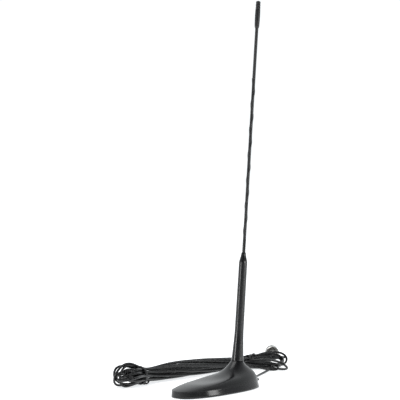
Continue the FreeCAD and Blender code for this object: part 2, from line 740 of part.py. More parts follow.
def tip_cap():
    # rubber cap, fattest a little above its middle, with rings near the top
    top = CAP_TOP
    belly_z = top - CAP_BELLY_BELOW_TOP
    side = Part.BSplineCurve()
    side.interpolate(Points=[
        Vector(CAP_MOUTH_RADIUS, 0, CAP_START),
        Vector(CAP_FOOT_RADIUS, 0, CAP_START + 2.2),
        Vector(CAP_BELLY_RADIUS, 0, belly_z),
        Vector(CAP_TIP_RADIUS, 0, top - 2.0),
        Vector(CAP_TIP_RADIUS * 0.72, 0, top - 0.35),
        Vector(0, 0, top),
    ], InitialTangent=Vector(1, 0, 2.5), FinalTangent=Vector(-1, 0, 0))
    edges = [
        Part.LineSegment(Vector(0, 0, CAP_START), Vector(CAP_MOUTH_RADIUS, 0, CAP_START)).toShape(),
        side.toShape(),
        Part.LineSegment(Vector(0, 0, top), Vector(0, 0, CAP_START)).toShape(),
    ]
    cap = Part.Face(Part.Wire(edges)).revolve(Vector(0, 0, 0), Vector(0, 0, 1), 360)
    for i in range(CAP_GROOVES):
        z = top - CAP_GROOVE_BELOW_TOP - i * CAP_GROOVE_PITCH
        half = CAP_GROOVE_WIDTH / 2
        ring = up(CAP_BELLY_RADIUS + 1, z - half, z + half)
        cap = cap.cut(ring.cut(up(CAP_TIP_RADIUS - CAP_GROOVE_DEPTH, z - 2, z + 2)))
    cap = cap.cut(up(SLEEVE_RADIUS + PLAIN_STEP + FIT_GAP, CAP_START - 1, CAP_START + 4.2))
    cap = cap.cut(up(ROD_RADIUS + FIT_GAP, CAP_START, top - CAP_BORE_DEPTH * 0.55))
    return on_mast(cap)


def route_tube(points, radius, label):
    # straight runs joined by arcs, each as large as its two runs allow
    route = [Vector(*p) for p in points]
    edges = []
    start = route[0]
    radii = []
    for i in range(1, len(route) - 1):
        before = route[i] - route[i - 1]
        after = route[i + 1] - route[i]
        turn = before.getAngle(after)
        short = min(before.Length, after.Length)
        arc_radius = 0.45 * short / math.tan(turn / 2)
        radii.append(round(arc_radius, 1))
        cut_back = 0.45 * short
        one = Vector(before).normalize()
        two = Vector(after).normalize()
        enter = route[i] - one * cut_back
        leave = route[i] + two * cut_back
        inward = (two - one).normalize()
        centre = route[i] + inward * (arc_radius / math.cos(turn / 2))
        middle = centre - inward * arc_radius
        edges.append(Part.LineSegment(start, enter).toShape())
        edges.append(Part.Arc(enter, middle, leave).toShape())
        start = leave
    edges.append(Part.LineSegment(start, route[-1]).toShape())
    spine = Part.Wire(edges)
    first = (route[1] - route[0]).normalize()
    ring = Part.Wire(Part.Circle(route[0], first, radius).toShape())
    tube = spine.makePipeShell([ring], True, False)
    wanted = math.pi * radius ** 2 * spine.Length
    print(label, "arc radii", radii, "length", round(spine.Length, 1), "ratio", round(tube.Volume / wanted, 5))
    return tube


def lead_points():
    # from the grommet, round behind the tail and across the floor to the hank
    floor = CORD_RADIUS + 0.05
    end = grommet_end()
    return [
        (end, 0.0, CORD_EXIT_HEIGHT),
        (end + 5.6, 0.7, CORD_EXIT_HEIGHT - 0.05),
        (end + 11.0, 4.9, CORD_EXIT_HEIGHT - 0.55),
        (end + 18.0, 14.5, floor + 2.75),
        (end + 28.5, 27.5, floor + 0.75),
        (112.0, 39.5, floor),
        (137.0, 51.0, floor),
        (162.0, 61.0, floor + 1.15),
        (178.0, 68.5, floor + 3.05),
    ]


def lead():
    # the tube starts inside the bushing and is cut square with the bushing's face
    points = lead_points()
    run = Vector(*points[1]) - Vector(*points[0])
    points[0] = tuple(Vector(*points[0]) - run.normalize() * CORD_RADIUS / 2)
    tube = route_tube(points, CORD_RADIUS, "lead")
    side = 6 * CORD_RADIUS
    inside = Part.makeBox(side, side, side, Vector(grommet_end() - side, -side / 2, 0))
    return tube.cut(inside)


def plug_lead_points():
    # from the back of the plug to the far side of the hank
    back = head_front() + PLUG_BODY_LENGTH + REDUCER_OUTSIDE
    start = on_plug(Part.Vertex(Vector(0, 0, back))).Point
    return [
        (start.x, start.y, start.z),
        (start.x - 5.2, start.y - 5.2, start.z - 0.1),
        (start.x - 11.6, start.y - 10.2, start.z - 0.7),
        (start.x - 18.6, start.y - 13.4, start.z - 1.5),
    ]


def station(index):
    # middle, half width and half height of the hank at one station
    x, y, half_width, half_height, gap = HANK_STATIONS[index]
    return Vector(x, y, gap + half_height), half_width, half_height


def hank_way(index):
    # the way the hank runs at one station
    before = station(max(index - 1, 0))[0]
    after = station(min(index + 1, len(HANK_STATIONS) - 1))[0]
    return Vector(after.x - before.x, after.y - before.y, 0).normalize()


def cord_hank():
    # outer form of the tied hank: fanned loops at both ends, necks at the ties
    wires = []
    for i in range(len(HANK_STATIONS)):
        centre, half_width, half_height = station(i)
        way = hank_way(i)
        across = Vector(-way.y, way.x, 0)
        points = []
        for k in range(HANK_RING_POINTS):
            turn = 2 * math.pi * k / HANK_RING_POINTS
            side = across * (half_width * math.cos(turn))
            points.append(centre + side + Vector(0, 0, half_height * math.sin(turn)))
        wires.append(closed_curve(points))
    return Part.makeLoft(wires, True, False)


def tie(index, tail_deg, tail_way, label):
    # turns of covered wire round a neck of the hank, with a loose tail
    centre, half_width, half_height = station(index)
    way = hank_way(index)
    across = Vector(-way.y, way.x, 0)
    wide = half_width + TIE_GAP + TIE_RADIUS
    tall = half_height + TIE_GAP + TIE_RADIUS
    grow = FreeCAD.Matrix()
    grow.scale(1.0, tall / wide, 1.0)
    ring = Part.makeTorus(wide, TIE_RADIUS).transformGeometry(grow)
    ring.rotate(Vector(0, 0, 0), Vector(1, 0, 0), 90)
    ring.rotate(Vector(0, 0, 0), Vector(0, 0, 1), math.degrees(math.atan2(way.y, way.x)) + 90)
    wrap = None
    for i in range(TIE_TURNS):
        turn = ring.copy()
        turn.translate(centre + way * (TIE_PITCH * (i - (TIE_TURNS - 1) / 2)))
        wrap = turn if wrap is None else wrap.fuse(turn)
    swing = math.radians(tail_deg)
    out = across * -math.sin(swing) + Vector(0, 0, math.cos(swing))
    start = centre + across * (-wide * math.sin(swing)) + Vector(0, 0, tall * math.cos(swing))
    bend = start + out * TIE_TAIL_REACH + way * (tail_way * TIE_TAIL_REACH)
    end = bend + way * (tail_way * 1.6 * TIE_TAIL_REACH) + Vector(0, 0, 0.4 * TIE_TAIL_REACH)
    tail = route_tube([tuple(start), tuple(bend), tuple(end)], TIE_TAIL_RADIUS, label)
    return wrap.fuse(tail)


def left_tie():
    return tie(LEFT_TIE_STATION, LEFT_TAIL_DEG, 1, "left_tie tail")


def right_tie():
    return tie(RIGHT_TIE_STATION, RIGHT_TAIL_DEG, -1, "right_tie tail")


def coupling_nut():
    nut = up(NUT_RADIUS, 0, NUT_LENGTH)
    nut = nut.cut(up(NUT_BORE, -1, NUT_LENGTH - NUT_COLLAR))
    nut = nut.cut(up(NUT_COLLAR_BORE, 0, NUT_LENGTH + 1))
    rims = [edge for edge in nut.Edges if edge.Closed and abs(edge.BoundBox.XLength / 2 - NUT_RADIUS) < 0.01]
    nut = nut.makeChamfer(0.6, rims)
    for i in range(NUT_KNURLS):
        turn = math.radians(360.0 * i / NUT_KNURLS)
        centre = Vector((NUT_RADIUS + 0.35) * math.cos(turn), (NUT_RADIUS + 0.35) * math.sin(turn), 3.2)
        nut = nut.cut(cylinder(0.35 + NUT_KNURL_DEPTH, NUT_LENGTH - 6.4, centre, Vector(0, 0, 1)))
    return on_plug(nut)


def head_front():
    # the body's head sits just in front of the nut's collar
    return NUT_LENGTH - NUT_COLLAR - 0.3 - PLUG_HEAD_LENGTH


def plug_body():
    front = head_front()
    body = up(PLUG_HEAD_RADIUS, front, front + PLUG_HEAD_LENGTH)
    body = body.fuse(up(PLUG_BODY_RADIUS, front, front + PLUG_BODY_LENGTH))
    body = body.cut(up(PLUG_RIM_BORE, front - 1, front + PLUG_BODY_LENGTH + 1))
    waist = up(PLUG_BODY_RADIUS + 1, front + PLUG_BODY_LENGTH - 9, front + PLUG_BODY_LENGTH - 4)
    body = body.cut(waist.cut(up(PLUG_BODY_RADIUS - 0.6, 0, front + PLUG_BODY_LENGTH)))
    return on_plug(body.removeSplitter())


def plug_insulator():
    front = head_front() + PIN_RECESS
    disc = up(PLUG_RIM_BORE - FIT_GAP, front, front + 8.0)
    return on_plug(disc.cut(up(PIN_RADIUS + FIT_GAP, front - 1, front + 9)))


def plug_pin():
    front = head_front() + PIN_RECESS
    pin = up(PIN_RADIUS, front - PIN_LENGTH, front + 10.0)
    tips = [edge for edge in pin.Edges if edge.Closed and edge.BoundBox.ZMax < front - PIN_LENGTH + 0.1]
    return on_plug(pin.makeFillet(0.9, tips))


def plug_reducer():
    back = head_front() + PLUG_BODY_LENGTH
    reducer = up(PLUG_RIM_BORE - FIT_GAP, back - REDUCER_INSIDE, back)
    reducer = reducer.fuse(up(REDUCER_FLANGE_RADIUS, back, back + 1.6))
    reducer = reducer.fuse(up(REDUCER_RADIUS, back, back + REDUCER_OUTSIDE))
    bore = up(BORE_RADIUS, back - REDUCER_INSIDE - 1, back + REDUCER_OUTSIDE + 1)
    return on_plug(reducer.cut(bore).removeSplitter())


os.makedirs("parts", exist_ok=True)

save("base_cover", base_cover())
save("base_plate", base_plate())
save("foot_pad", foot_pad())
save("magnet_cup", magnet_cup())
save("magnet_ring", magnet_ring())
save("base_screws", base_screws())
save("mast_socket", mast_socket())
save("solder_tag", solder_tag())
save("feed_wire", feed_wire())
save("match_board", match_board())
save("coil_former", coil_former())
save("coil_winding", coil_winding())
save("tuning_capacitor", tuning_capacitor())
save("cable_clamp", cable_clamp())
save("clamp_screws", clamp_screws())
save("cable_grommet", cable_grommet())
save("inner_lead", inner_lead())
save("seal_ring", seal_ring())
save("mast_stud", mast_stud())
save("boot_insert", boot_insert())
save("mast_boot", mast_boot())
save("whip_rod", whip_rod())
save("whip_wire", whip_wire())
save("whip_sleeve", whip_sleeve())
save("tip_cap", tip_cap())
save("lead", lead())
save("plug_lead", route_tube(plug_lead_points(), CORD_RADIUS, "plug_lead"))
save("cord_hank", cord_hank())
save("left_tie", left_tie())
save("right_tie", right_tie())
save("coupling_nut", coupling_nut())
save("plug_body", plug_body())
save("plug_insulator", plug_insulator())
save("plug_pin", plug_pin())
save("plug_reducer", plug_reducer())
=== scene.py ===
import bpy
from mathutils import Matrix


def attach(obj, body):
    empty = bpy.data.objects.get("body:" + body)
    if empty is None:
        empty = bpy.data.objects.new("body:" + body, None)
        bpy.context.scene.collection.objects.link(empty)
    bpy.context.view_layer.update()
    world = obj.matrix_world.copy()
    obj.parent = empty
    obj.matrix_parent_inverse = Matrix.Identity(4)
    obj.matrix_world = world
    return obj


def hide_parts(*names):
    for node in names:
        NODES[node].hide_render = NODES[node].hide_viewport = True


bl_info = {
    "name": "Magnetic mount antenna",
    "version": (1, 0, 0),
    "blender": (4, 2, 0),
    "location": "3D View > Sidebar > Antenna",
    "description": "Dresses the antenna's frame, lays its hank of lead and sets the studio",
    "category": "Object",
}

import math
import random

import bmesh
import bpy
import numpy as np
from mathutils import Vector

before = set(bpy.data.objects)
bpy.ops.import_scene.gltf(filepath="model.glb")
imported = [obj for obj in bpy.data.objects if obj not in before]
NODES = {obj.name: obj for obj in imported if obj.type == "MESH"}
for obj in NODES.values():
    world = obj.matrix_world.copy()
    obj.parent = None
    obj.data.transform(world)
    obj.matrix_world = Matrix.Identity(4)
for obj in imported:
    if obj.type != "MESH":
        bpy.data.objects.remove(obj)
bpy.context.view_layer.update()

MM = 0.001
MICRON = 0.000001

# Camera, solved from the outline of the base and the mast in the 400 px wide photograph
CAMERA_PLACE = (-1.1309, -1.0889, 0.2630)
CAMERA_AZIMUTH = -45.4
CAMERA_PITCH = -1.57
CAMERA_LENS = 123.87
SENSOR = 36.0

# The base cover's form, in millimetres, as in the part's source. The nose's draft and the rise at
# its edge are settings, as is the crown; "edge" has the sides and tail, "slope" the nose as well.
COVER = {
    "length": 131.0, "width": 50.8, "nose": 60.5, "nose_power": 2.29, "tail_power": 2.35,
    "height": 31.9, "platform": 7.45, "skirt": 8.2, "bottom": 0.6, "draft": 1.9, "inset": 0.5,
    "wall": 2.2, "roof": 2.0, "mast_x": 35.2, "rake": 4.85, "bore": 4.45,
    "edge": (0.14, 0.35), "slope": (0.43, 0.0, 0.55), "edge_power": 8.0, "peak_power": 4.75,
    "lean_power": 4.0,
}
# The crown starts and ends at these places and takes these lengths to do so
CROWN_RISES = (-63.0, 28.0)
CROWN_FALLS = (24.0, 22.0)
CROWN_POWER = 6
# Rows of the cover's mesh: how many up the roof, how they crowd, and the shares down the skirt
COVER_LEVELS = 45
LEVEL_EASE = 0.6
LEVEL_POWER = 1.4
SKIRT_STEPS = (0.25, 0.5, 0.75, 1.0)
FOOT_STEPS = (0.4, 0.75, 1.0)

# The tip cap's side, in millimetres up the mast from the platform
CAP_HEIGHTS = (389.5, 391.7, 398.0, 404.8, 412.0, 419.8, 421.8)
CAP_RADII = (2.15, 2.75, 2.98, 3.05, 2.92, 2.7, 2.6)
CAP_BORE = 1.75
CAP_BORE_DEPTH = 5.0
CAP_CHAMFER = 0.12
CAP_DOME = 1.5
CAP_DOME_POWER = 0.9
CAP_ROWS = 150
CAP_RINGS_BELOW_TOP = (3.5, 6.5, 9.5)

# The lead's route, in metres: the same points as the tube in the part's source
LEAD_ROUTE = [
    (0.0661, 0.0, 0.0061), (0.0717, 0.0007, 0.00605), (0.0771, 0.0049, 0.00555),
    (0.0841, 0.0145, 0.0042), (0.0946, 0.0275, 0.0022), (0.112, 0.0395, 0.00145),
    (0.137, 0.051, 0.00145), (0.162, 0.061, 0.0026), (0.178, 0.0685, 0.0045),
]

# From the lead round the right end into the bundle, and from the bundle to the plug
ENTRY_ROUTE = [
    (0.190, 0.071, 0.0062), (0.2035, 0.0765, 0.0085), (0.2065, 0.0845, 0.0115),
    (0.1985, 0.0905, 0.0145), (0.186, 0.0935, 0.0155), (0.174, 0.0955, 0.0140),
]
EXIT_ROUTE = [
    (0.168, 0.091, 0.005),
    (0.178, 0.090, 0.0055),
    (0.188, 0.0892, 0.0066),
]
PLUG_ROUTE = [
    (0.19629, 0.08949, 0.00762), (0.20329, 0.09269, 0.00842),
    (0.20969, 0.09769, 0.00902), (0.21489, 0.10289, 0.00912),
]

# The hank's middle, half width, half height and the gap below, in metres: the stations of the
# part's source, with those at 0.078 and 0.118 a little flatter and nearer, as photographed
HANK_STATIONS = [
    (-0.0675, 0.098, 0.0085, 0.009, 0.00025),
    (-0.059, 0.0975, 0.016, 0.013, 0.00025),
    (-0.046, 0.099, 0.0175, 0.014, 0.00025),
    (-0.033, 0.100, 0.0125, 0.0113, 0.001),
    (-0.021, 0.101, 0.0082, 0.0084, 0.00225),
    (-0.003, 0.1035, 0.0095, 0.0088, 0.001),
    (0.035, 0.106, 0.014, 0.0102, 0.00025),
    (0.078, 0.1065, 0.015, 0.0097, 0.00025),
    (0.118, 0.1035, 0.012, 0.0083, 0.0006),
    (0.146, 0.099, 0.0086, 0.0072, 0.0016),
    (0.158, 0.0955, 0.0078, 0.0068, 0.00225),
    (0.170, 0.0885, 0.0135, 0.0083, 0.0014),
    (0.181, 0.0795, 0.021, 0.0092, 0.00025),
    (0.1905, 0.071, 0.020, 0.0092, 0.00025),
    (0.198, 0.0635, 0.011, 0.007, 0.00025),
]
# Where the ties gather the bundle, counted in stations
LEFT_NECK = 4
RIGHT_NECK = 9.8
# Points read between two stations, and the reach over which the line's way is taken
STATION_STEPS = 20
WAY_REACH = 0.004

# A value for each turn: its strand's place in the bundle, and how far its loops reach, spread,
# lean aside and rise
TURN_ANGLES = [0, 18, 36, 54, 72, 90, 108, 126, 144, 162]
TURN_RINGS = [1.0, 0.6, 1.0, 1.0, 0.3, 1.0, 1.0, 0.55, 1.0, 0.35]
LEFT_REACH = [0.0465, 0.032, 0.038, 0.044, 0.029, 0.046, 0.047, 0.034, 0.041, 0.037]
LEFT_SPREAD = [0.017, 0.010, 0.012, 0.0145, 0.009, 0.0145, 0.017, 0.0115, 0.013, 0.015]
LEFT_LEAN = [-0.14, 0.1, -0.2, 0.12, 0.0, -0.1, 0.08, -0.25, 0.2, -0.05]
RIGHT_REACH = [0.054, 0.037, 0.045, 0.053, 0.033, 0.049, 0.042, 0.056, 0.051]
RIGHT_SPREAD = [0.017, 0.010, 0.013, 0.0155, 0.009, 0.014, 0.011, 0.015, 0.0135]
RIGHT_LEAN = [-0.6, 0.3, -0.35, 0.4, -0.5, 0.0, -0.7, 0.25, 0.05]
RIGHT_LIFT = [-0.007, 0.002, -0.004, 0.004, -0.006, 0.001, -0.007, 0.001, -0.001]

# Height of the loops of each end as a share of their width
LEFT_TALL = 0.95
RIGHT_TALL = 0.72

# Ties: place along the bundle, the wire's radius, the turns and their pitch, the slant of each
# turn, the angle of the twisted knob, and the way of the tail from it
LEFT_TIE = {
    "index": 3.7, "wire": 0.00105, "turns": 3.0, "pitch": 0.0015,
    "slant": (0.0003, -0.0004, 0.0005), "knob": -2.0,
    "tail": ((0.0015, -0.001, -0.0003), (0.0035, -0.001, 0.0012), (0.0058, -0.0005, 0.003)),
}
RIGHT_TIE = {
    "index": 10.2, "wire": 0.00105, "turns": 4.0, "pitch": 0.0016,
    "slant": (0.0022, -0.0026, 0.0018, -0.0020), "knob": 1.9,
    "tail": ((-0.0015, -0.001, 0.0002), (-0.0035, -0.0015, -0.0008), (-0.005, -0.002, -0.002)),
}
# Points in a turn of the wire, and how far it stands off the bundle in radii; then the knob
TIE_STEPS = 28
TIE_STANDOFF = 0.9
KNOB_STEPS = 24
KNOB_TURNS = 2
KNOB_START = 0.0006
KNOB_GROWTH = 0.0012
KNOB_RADIUS = 0.0011

# Points along the swept wire, and those of its inputs that are the same for both ties
WIRE_POINTS = 240
WIRE_INPUTS = (
    ("Sides", "NodeSocketInt", 12),
    ("Seed", "NodeSocketInt", 3),
    ("Bruising", "NodeSocketFloat", 0.08),
)

# Points in a strand and in a loop, how full the loop is, how the waver runs, and the gap kept
# above the floor
STRAND_POINTS = 11
LOOP_POINTS = 11
LOOP_POWER = 0.92
WAVER_ACROSS = 5.0
WAVER_UP = 4.0
WAVER_UP_SHARE = 0.4
WAVER_SHIFT = 1.7
FLOOR_GAP = 0.00005

# Easing of the turns: spacing of the points in metres, rounds, distance kept in diameters,
# neighbours left out, and the shares of push, bend and sag taken up in a round
EASE = {
    "spacing": 0.0042, "rounds": 90, "apart": 1.04, "neighbours": 3,
    "push": 0.35, "bend": 0.24, "sag": 0.02,
}

# Surfaces: the band of the noise that is used, the swing in tone and gloss, how much lighter the
# painted highlight makes crisp edges, and the height in millimetres over which the skirt's gloss
# fades
NOISE_BAND = (0.3, 0.7)
TONE_SWING = 0.15
GLOSS_SWING = 0.05
EDGE_HIGHLIGHT_GAIN = 3.0
SKIRT_FADE = 0.8

# Angles in degrees above which an edge stays sharp
SHARP = {"cover": 40.0, "cap": 50.0, "mast": 30.0}

# Studio: the floor, the sky and where it brightens, and each softbox's place, aim and size
FLOOR_SIZE = 6.0
FLOOR_TINT = (0.96, 0.985, 1.0, 1.0)
SKY_TINT = (0.955, 0.985, 1.0, 1.0)
SKY_BAND = (-0.5, 0.75)
SOFTBOXES = {
    "key": ((-0.7, 0.5, 1.7), (0.0, 0.05, 0.1), 1.2),
    "strip_left": ((-1.42, 0.45, 0.3), (0.0, 0.0, 0.05), 0.35),
    "strip_right": ((0.09, -1.5, 0.45), (0.03, 0.0, 0.1), 0.3),
    "strip_side": ((0.71, -1.29, 0.27), (0.0, 0.0, 0.0), 0.34),
}
# The side strip's share of the strips' power
SIDE_SHARE = 0.7

# Metal and hidden pieces: material, colour, roughness, grain and its depth in metres, metallic
# share, and the nodes that wear it
HARDWARE = (
    ("zinc_plate", (0.45, 0.45, 0.47), 0.32, 0.0004, 0.00001, 1.0,
     ("base_screws", "clamp_screws", "magnet_cup", "mast_stud")),
    ("turned_brass", (0.78, 0.58, 0.27), 0.28, 0.0004, 0.00001, 1.0,
     ("mast_socket", "solder_tag", "boot_insert")),
    ("drawn_copper", (0.85, 0.42, 0.26), 0.3, 0.0003, 0.00001, 1.0,
     ("feed_wire", "coil_winding", "whip_wire")),
    ("magnet", (0.20, 0.20, 0.21), 0.5, 0.0006, 0.00002, 0.6, ("magnet_ring",)),
    ("board_lacquer", (0.02, 0.13, 0.06), 0.25, 0.001, 0.00001, 0.0, ("match_board",)),
    ("former_nylon", (0.75, 0.74, 0.70), 0.5, 0.0008, 0.00002, 0.0, ("coil_former",)),
    ("ceramic_glaze", (0.55, 0.30, 0.08), 0.2, 0.0015, 0.00002, 0.0, ("tuning_capacitor",)),
    ("glass_rod", (0.60, 0.58, 0.46), 0.35, 0.0006, 0.00002, 0.0, ("whip_rod",)),
)


class AntennaStage(bpy.types.PropertyGroup):
    floor_tone: bpy.props.FloatProperty(
        name="Floor tone", description="How light the floor is", default=0.9, min=0.1, max=1.0
    )
    floor_glow: bpy.props.FloatProperty(
        name="Floor glow", description="Light of the lit table under the part", default=0.72,
        min=0.0, max=2.0,
    )
    key_power: bpy.props.FloatProperty(
        name="Key light", description="Power of the main softbox", default=14.0, unit="POWER"
    )
    strip_power: bpy.props.FloatProperty(
        name="Strip lights", description="Power of the narrow side lights", default=5.0,
        unit="POWER",
    )
    fill: bpy.props.FloatProperty(
        name="Backdrop", description="Strength of the white backdrop", default=1.07,
        min=0.0, max=3.0,
    )
    room: bpy.props.FloatProperty(
        name="Room", description="Strength of the room behind the camera", default=0.12,
        min=0.0, max=1.0,
    )


class AntennaCover(bpy.types.PropertyGroup):
    nose_draft: bpy.props.FloatProperty(
        name="Nose draft", description="How far the skirt leans in at the nose", default=0.0005,
        unit="LENGTH",
    )
    nose_rise: bpy.props.FloatProperty(
        name="Nose rise", description="Share of the rise made in the round shoulder at the nose",
        default=0.165, min=0.0, max=0.5,
    )
    crown: bpy.props.FloatProperty(
        name="Roof crown", description="How far the roof bulges between its shoulders",
        default=0.0016, unit="LENGTH",
    )
    foot_round: bpy.props.FloatProperty(
        name="Foot rounding", description="Rounding of the skirt's lower edge", default=0.0005,
        unit="LENGTH",
    )
    sectors: bpy.props.IntProperty(
        name="Sectors", description="Points round the cover", default=240, min=48
    )


class AntennaMast(bpy.types.PropertyGroup):
    ring_depth: bpy.props.FloatProperty(
        name="Cap ring depth", description="Depth of the rings near the cap's top",
        default=0.00022, unit="LENGTH",
    )
    ring_width: bpy.props.FloatProperty(
        name="Cap ring width", description="Width of the rings near the cap's top",
        default=0.0011, unit="LENGTH",
    )


class AntennaFinish(bpy.types.PropertyGroup):
    cover_color: bpy.props.FloatVectorProperty(
        name="Cover colour", description="Base cover plastic", subtype="COLOR", size=3,
        default=(0.0055, 0.0058, 0.0065), min=0.0, max=1.0,
    )
    cover_roughness: bpy.props.FloatProperty(
        name="Cover roughness", description="Satin of the moulded cover", default=0.24,
        min=0.0, max=1.0, subtype="FACTOR",
    )
    boot_color: bpy.props.FloatVectorProperty(
        name="Boot colour", description="Mast boot, sleeve and tip cap", subtype="COLOR", size=3,
        default=(0.0055, 0.0058, 0.0065), min=0.0, max=1.0,
    )
    grain: bpy.props.FloatProperty(
        name="Grain size", description="Size of the moulded grain", default=0.0006, unit="LENGTH"
    )


class AntennaCord(bpy.types.PropertyGroup):
    diameter: bpy.props.FloatProperty(
        name="Lead diameter", description="Outer diameter of the coaxial lead", default=0.0028,
        unit="LENGTH",
    )
    twist: bpy.props.FloatProperty(
        name="Bundle twist", description="How far the bundle turns between its ties",
        default=math.radians(110), subtype="ANGLE",
    )
    waver: bpy.props.FloatProperty(
        name="Waver", description="How far the strands stray from their places", default=0.0011,
        unit="LENGTH",
    )
    seed: bpy.props.IntProperty(name="Seed", description="Seed of the strands' waver", default=7)
    color: bpy.props.FloatVectorProperty(
        name="Lead colour", description="Jacket of the lead", subtype="COLOR", size=3,
        default=(0.0045, 0.005, 0.0055), min=0.0, max=1.0,
    )


def placed(name, data):
    piece = bpy.data.objects.new(name, data)
    bpy.context.scene.collection.objects.link(piece)
    return piece


# ---- materials


def node_group(name, inputs, outputs, kind="ShaderNodeTree"):
    tree = bpy.data.node_groups.new(name, kind)
    for label, sort, value in inputs:
        socket = tree.interface.new_socket(name=label, in_out="INPUT", socket_type=sort)
        if value is not None:
            socket.default_value = value
    for label, sort in outputs:
        tree.interface.new_socket(name=label, in_out="OUTPUT", socket_type=sort)
    return tree, tree.nodes.new("NodeGroupInput"), tree.nodes.new("NodeGroupOutput")


def grain_group():
    # fine moulded grain as a normal, with a slow drift of tone and gloss
    tree, given, out = node_group(
        "moulded_grain",
        [
            ("Scale", "NodeSocketFloat", 1600.0),
            ("Depth", "NodeSocketFloat", 0.00004),
            ("Drift", "NodeSocketFloat", 30.0),
        ],
        [("Normal", "NodeSocketVector"), ("Drift", "NodeSocketFloat")],
    )
    new, link = tree.nodes.new, tree.links.new
    coord = new("ShaderNodeTexCoord")
    fine = new("ShaderNodeTexNoise")
    fine.inputs["Detail"].default_value = 3.0
    bump = new("ShaderNodeBump")
    bump.inputs["Strength"].default_value = 0.6
    slow = new("ShaderNodeTexNoise")
    slow.inputs["Detail"].default_value = 2.0
    link(coord.outputs["Object"], fine.inputs["Vector"])
    link(given.outputs["Scale"], fine.inputs["Scale"])
    link(fine.outputs["Fac"], bump.inputs["Height"])
    link(given.outputs["Depth"], bump.inputs["Distance"])
    link(coord.outputs["Object"], slow.inputs["Vector"])
    link(given.outputs["Drift"], slow.inputs["Scale"])
    link(bump.outputs["Normal"], out.inputs["Normal"])
    link(slow.outputs["Fac"], out.inputs["Drift"])
    return tree


def edge_group():
    # mask of the crisp outer edges, where a painted highlight lightens the colour
    tree, given, out = node_group(
        "painted_edge_highlight",
        [("Radius", "NodeSocketFloat", 0.0006), ("Gain", "NodeSocketFloat", 6.0)],
        [("Mask", "NodeSocketFloat")],
    )
    new, link = tree.nodes.new, tree.links.new
    geometry = new("ShaderNodeNewGeometry")
    bevel = new("ShaderNodeBevel")
    bevel.samples = 4
    dot = new("ShaderNodeVectorMath")
    dot.operation = "DOT_PRODUCT"
    less = new("ShaderNodeMath")
    less.operation = "SUBTRACT"
    less.inputs[0].default_value = 1.0
    gain = new("ShaderNodeMath")
    gain.operation = "MULTIPLY"
    gain.use_clamp = True
    link(given.outputs["Radius"], bevel.inputs["Radius"])
    link(geometry.outputs["Normal"], dot.inputs[0])
    link(bevel.outputs["Normal"], dot.inputs[1])
    link(dot.outputs["Value"], less.inputs[1])
    link(less.outputs["Value"], gain.inputs[0])
    link(given.outputs["Gain"], gain.inputs[1])
    link(gain.outputs["Value"], out.inputs["Mask"])
    return tree


GROUPS = {}


def group_node(tree, name, **values):
    node = tree.nodes.new("ShaderNodeGroup")
    node.node_tree = GROUPS[name]
    for label, value in values.items():
        node.inputs[label].default_value = value
    return node


def new_material(name):
    material = bpy.data.materials.new(name)
    material.use_nodes = True
    shader = material.node_tree.nodes["Principled BSDF"]
    return material, material.node_tree, shader


def mapped(tree, value, band, low, high):
    # a value of the band, taken to the range from low to high
    node = tree.nodes.new("ShaderNodeMapRange")
    for label, level in zip(("From Min", "From Max", "To Min", "To Max"), (*band, low, high)):
        node.inputs[label].default_value = level
    tree.links.new(value, node.inputs["Value"])
    return node


def shaded(tree, fac, low, high):
    node = tree.nodes.new("ShaderNodeMix")
    node.data_type = "RGBA"
    node.inputs["A"].default_value = (*low, 1.0)
    node.inputs["B"].default_value = (*high, 1.0)
    tree.links.new(fac, node.inputs["Factor"])
    return node.outputs["Result"]


def scaled(color, by):
    return tuple(min(1.0, c * by) for c in color)


def plastic(name, color, roughness, grain, depth, drift=30.0, specular=0.5, metallic=0.0):
    # moulded, drawn or turned surface: grain in the normal, drift in tone and gloss
    material, tree, shader = new_material(name)
    grained = group_node(tree, "moulded_grain", Scale=1.0 / grain, Depth=depth, Drift=drift)
    tree.links.new(grained.outputs["Normal"], shader.inputs["Normal"])
    dark, light = scaled(color, 1.0 - TONE_SWING), scaled(color, 1.0 + TONE_SWING)
    tone = shaded(tree, grained.outputs["Drift"], dark, light)
    tree.links.new(tone, shader.inputs["Base Color"])
    dull, glossy = roughness + GLOSS_SWING, roughness - GLOSS_SWING
    gloss = mapped(tree, grained.outputs["Drift"], NOISE_BAND, glossy, dull)
    tree.links.new(gloss.outputs["Result"], shader.inputs["Roughness"])
    shader.inputs["Metallic"].default_value = metallic
    shader.inputs["Specular IOR Level"].default_value = specular
    return material


def plastic_with_painted_highlight(name, color, roughness, grain, depth, specular=0.5, skirt=0.0):
    # as plastic, with a painted highlight that lightens its crisp edges; the skirt below the
    # shoulder is glossier
    material = plastic(name, color, roughness, grain, depth, specular=specular)
    tree = material.node_tree
    shader = tree.nodes["Principled BSDF"]
    tone = shader.inputs["Base Color"].links[0].from_socket
    edge = group_node(tree, "painted_edge_highlight")
    # painted highlight: the base colour is made lighter along the crisp edges
    mix = tree.nodes.new("ShaderNodeMix")
    mix.data_type = "RGBA"
    mix.inputs["B"].default_value = (*scaled(color, EDGE_HIGHLIGHT_GAIN), 1.0)
    tree.links.new(edge.outputs["Mask"], mix.inputs["Factor"])
    tree.links.new(tone, mix.inputs["A"])
    tree.links.new(mix.outputs["Result"], shader.inputs["Base Color"])
    if skirt:
        coord = tree.nodes.new("ShaderNodeTexCoord")
        split = tree.nodes.new("ShaderNodeSeparateXYZ")
        tree.links.new(coord.outputs["Object"], split.inputs["Vector"])
        band = (COVER["skirt"] - SKIRT_FADE) * MM, COVER["skirt"] * MM
        gloss = mapped(tree, split.outputs["Z"], band, roughness * (1.0 - skirt), roughness)
        tree.links.new(gloss.outputs["Result"], shader.inputs["Roughness"])
    return material


def paint(material, *nodes):
    for node in nodes:
        mesh = NODES[node].data
        mesh.materials.clear()
        mesh.materials.append(material)


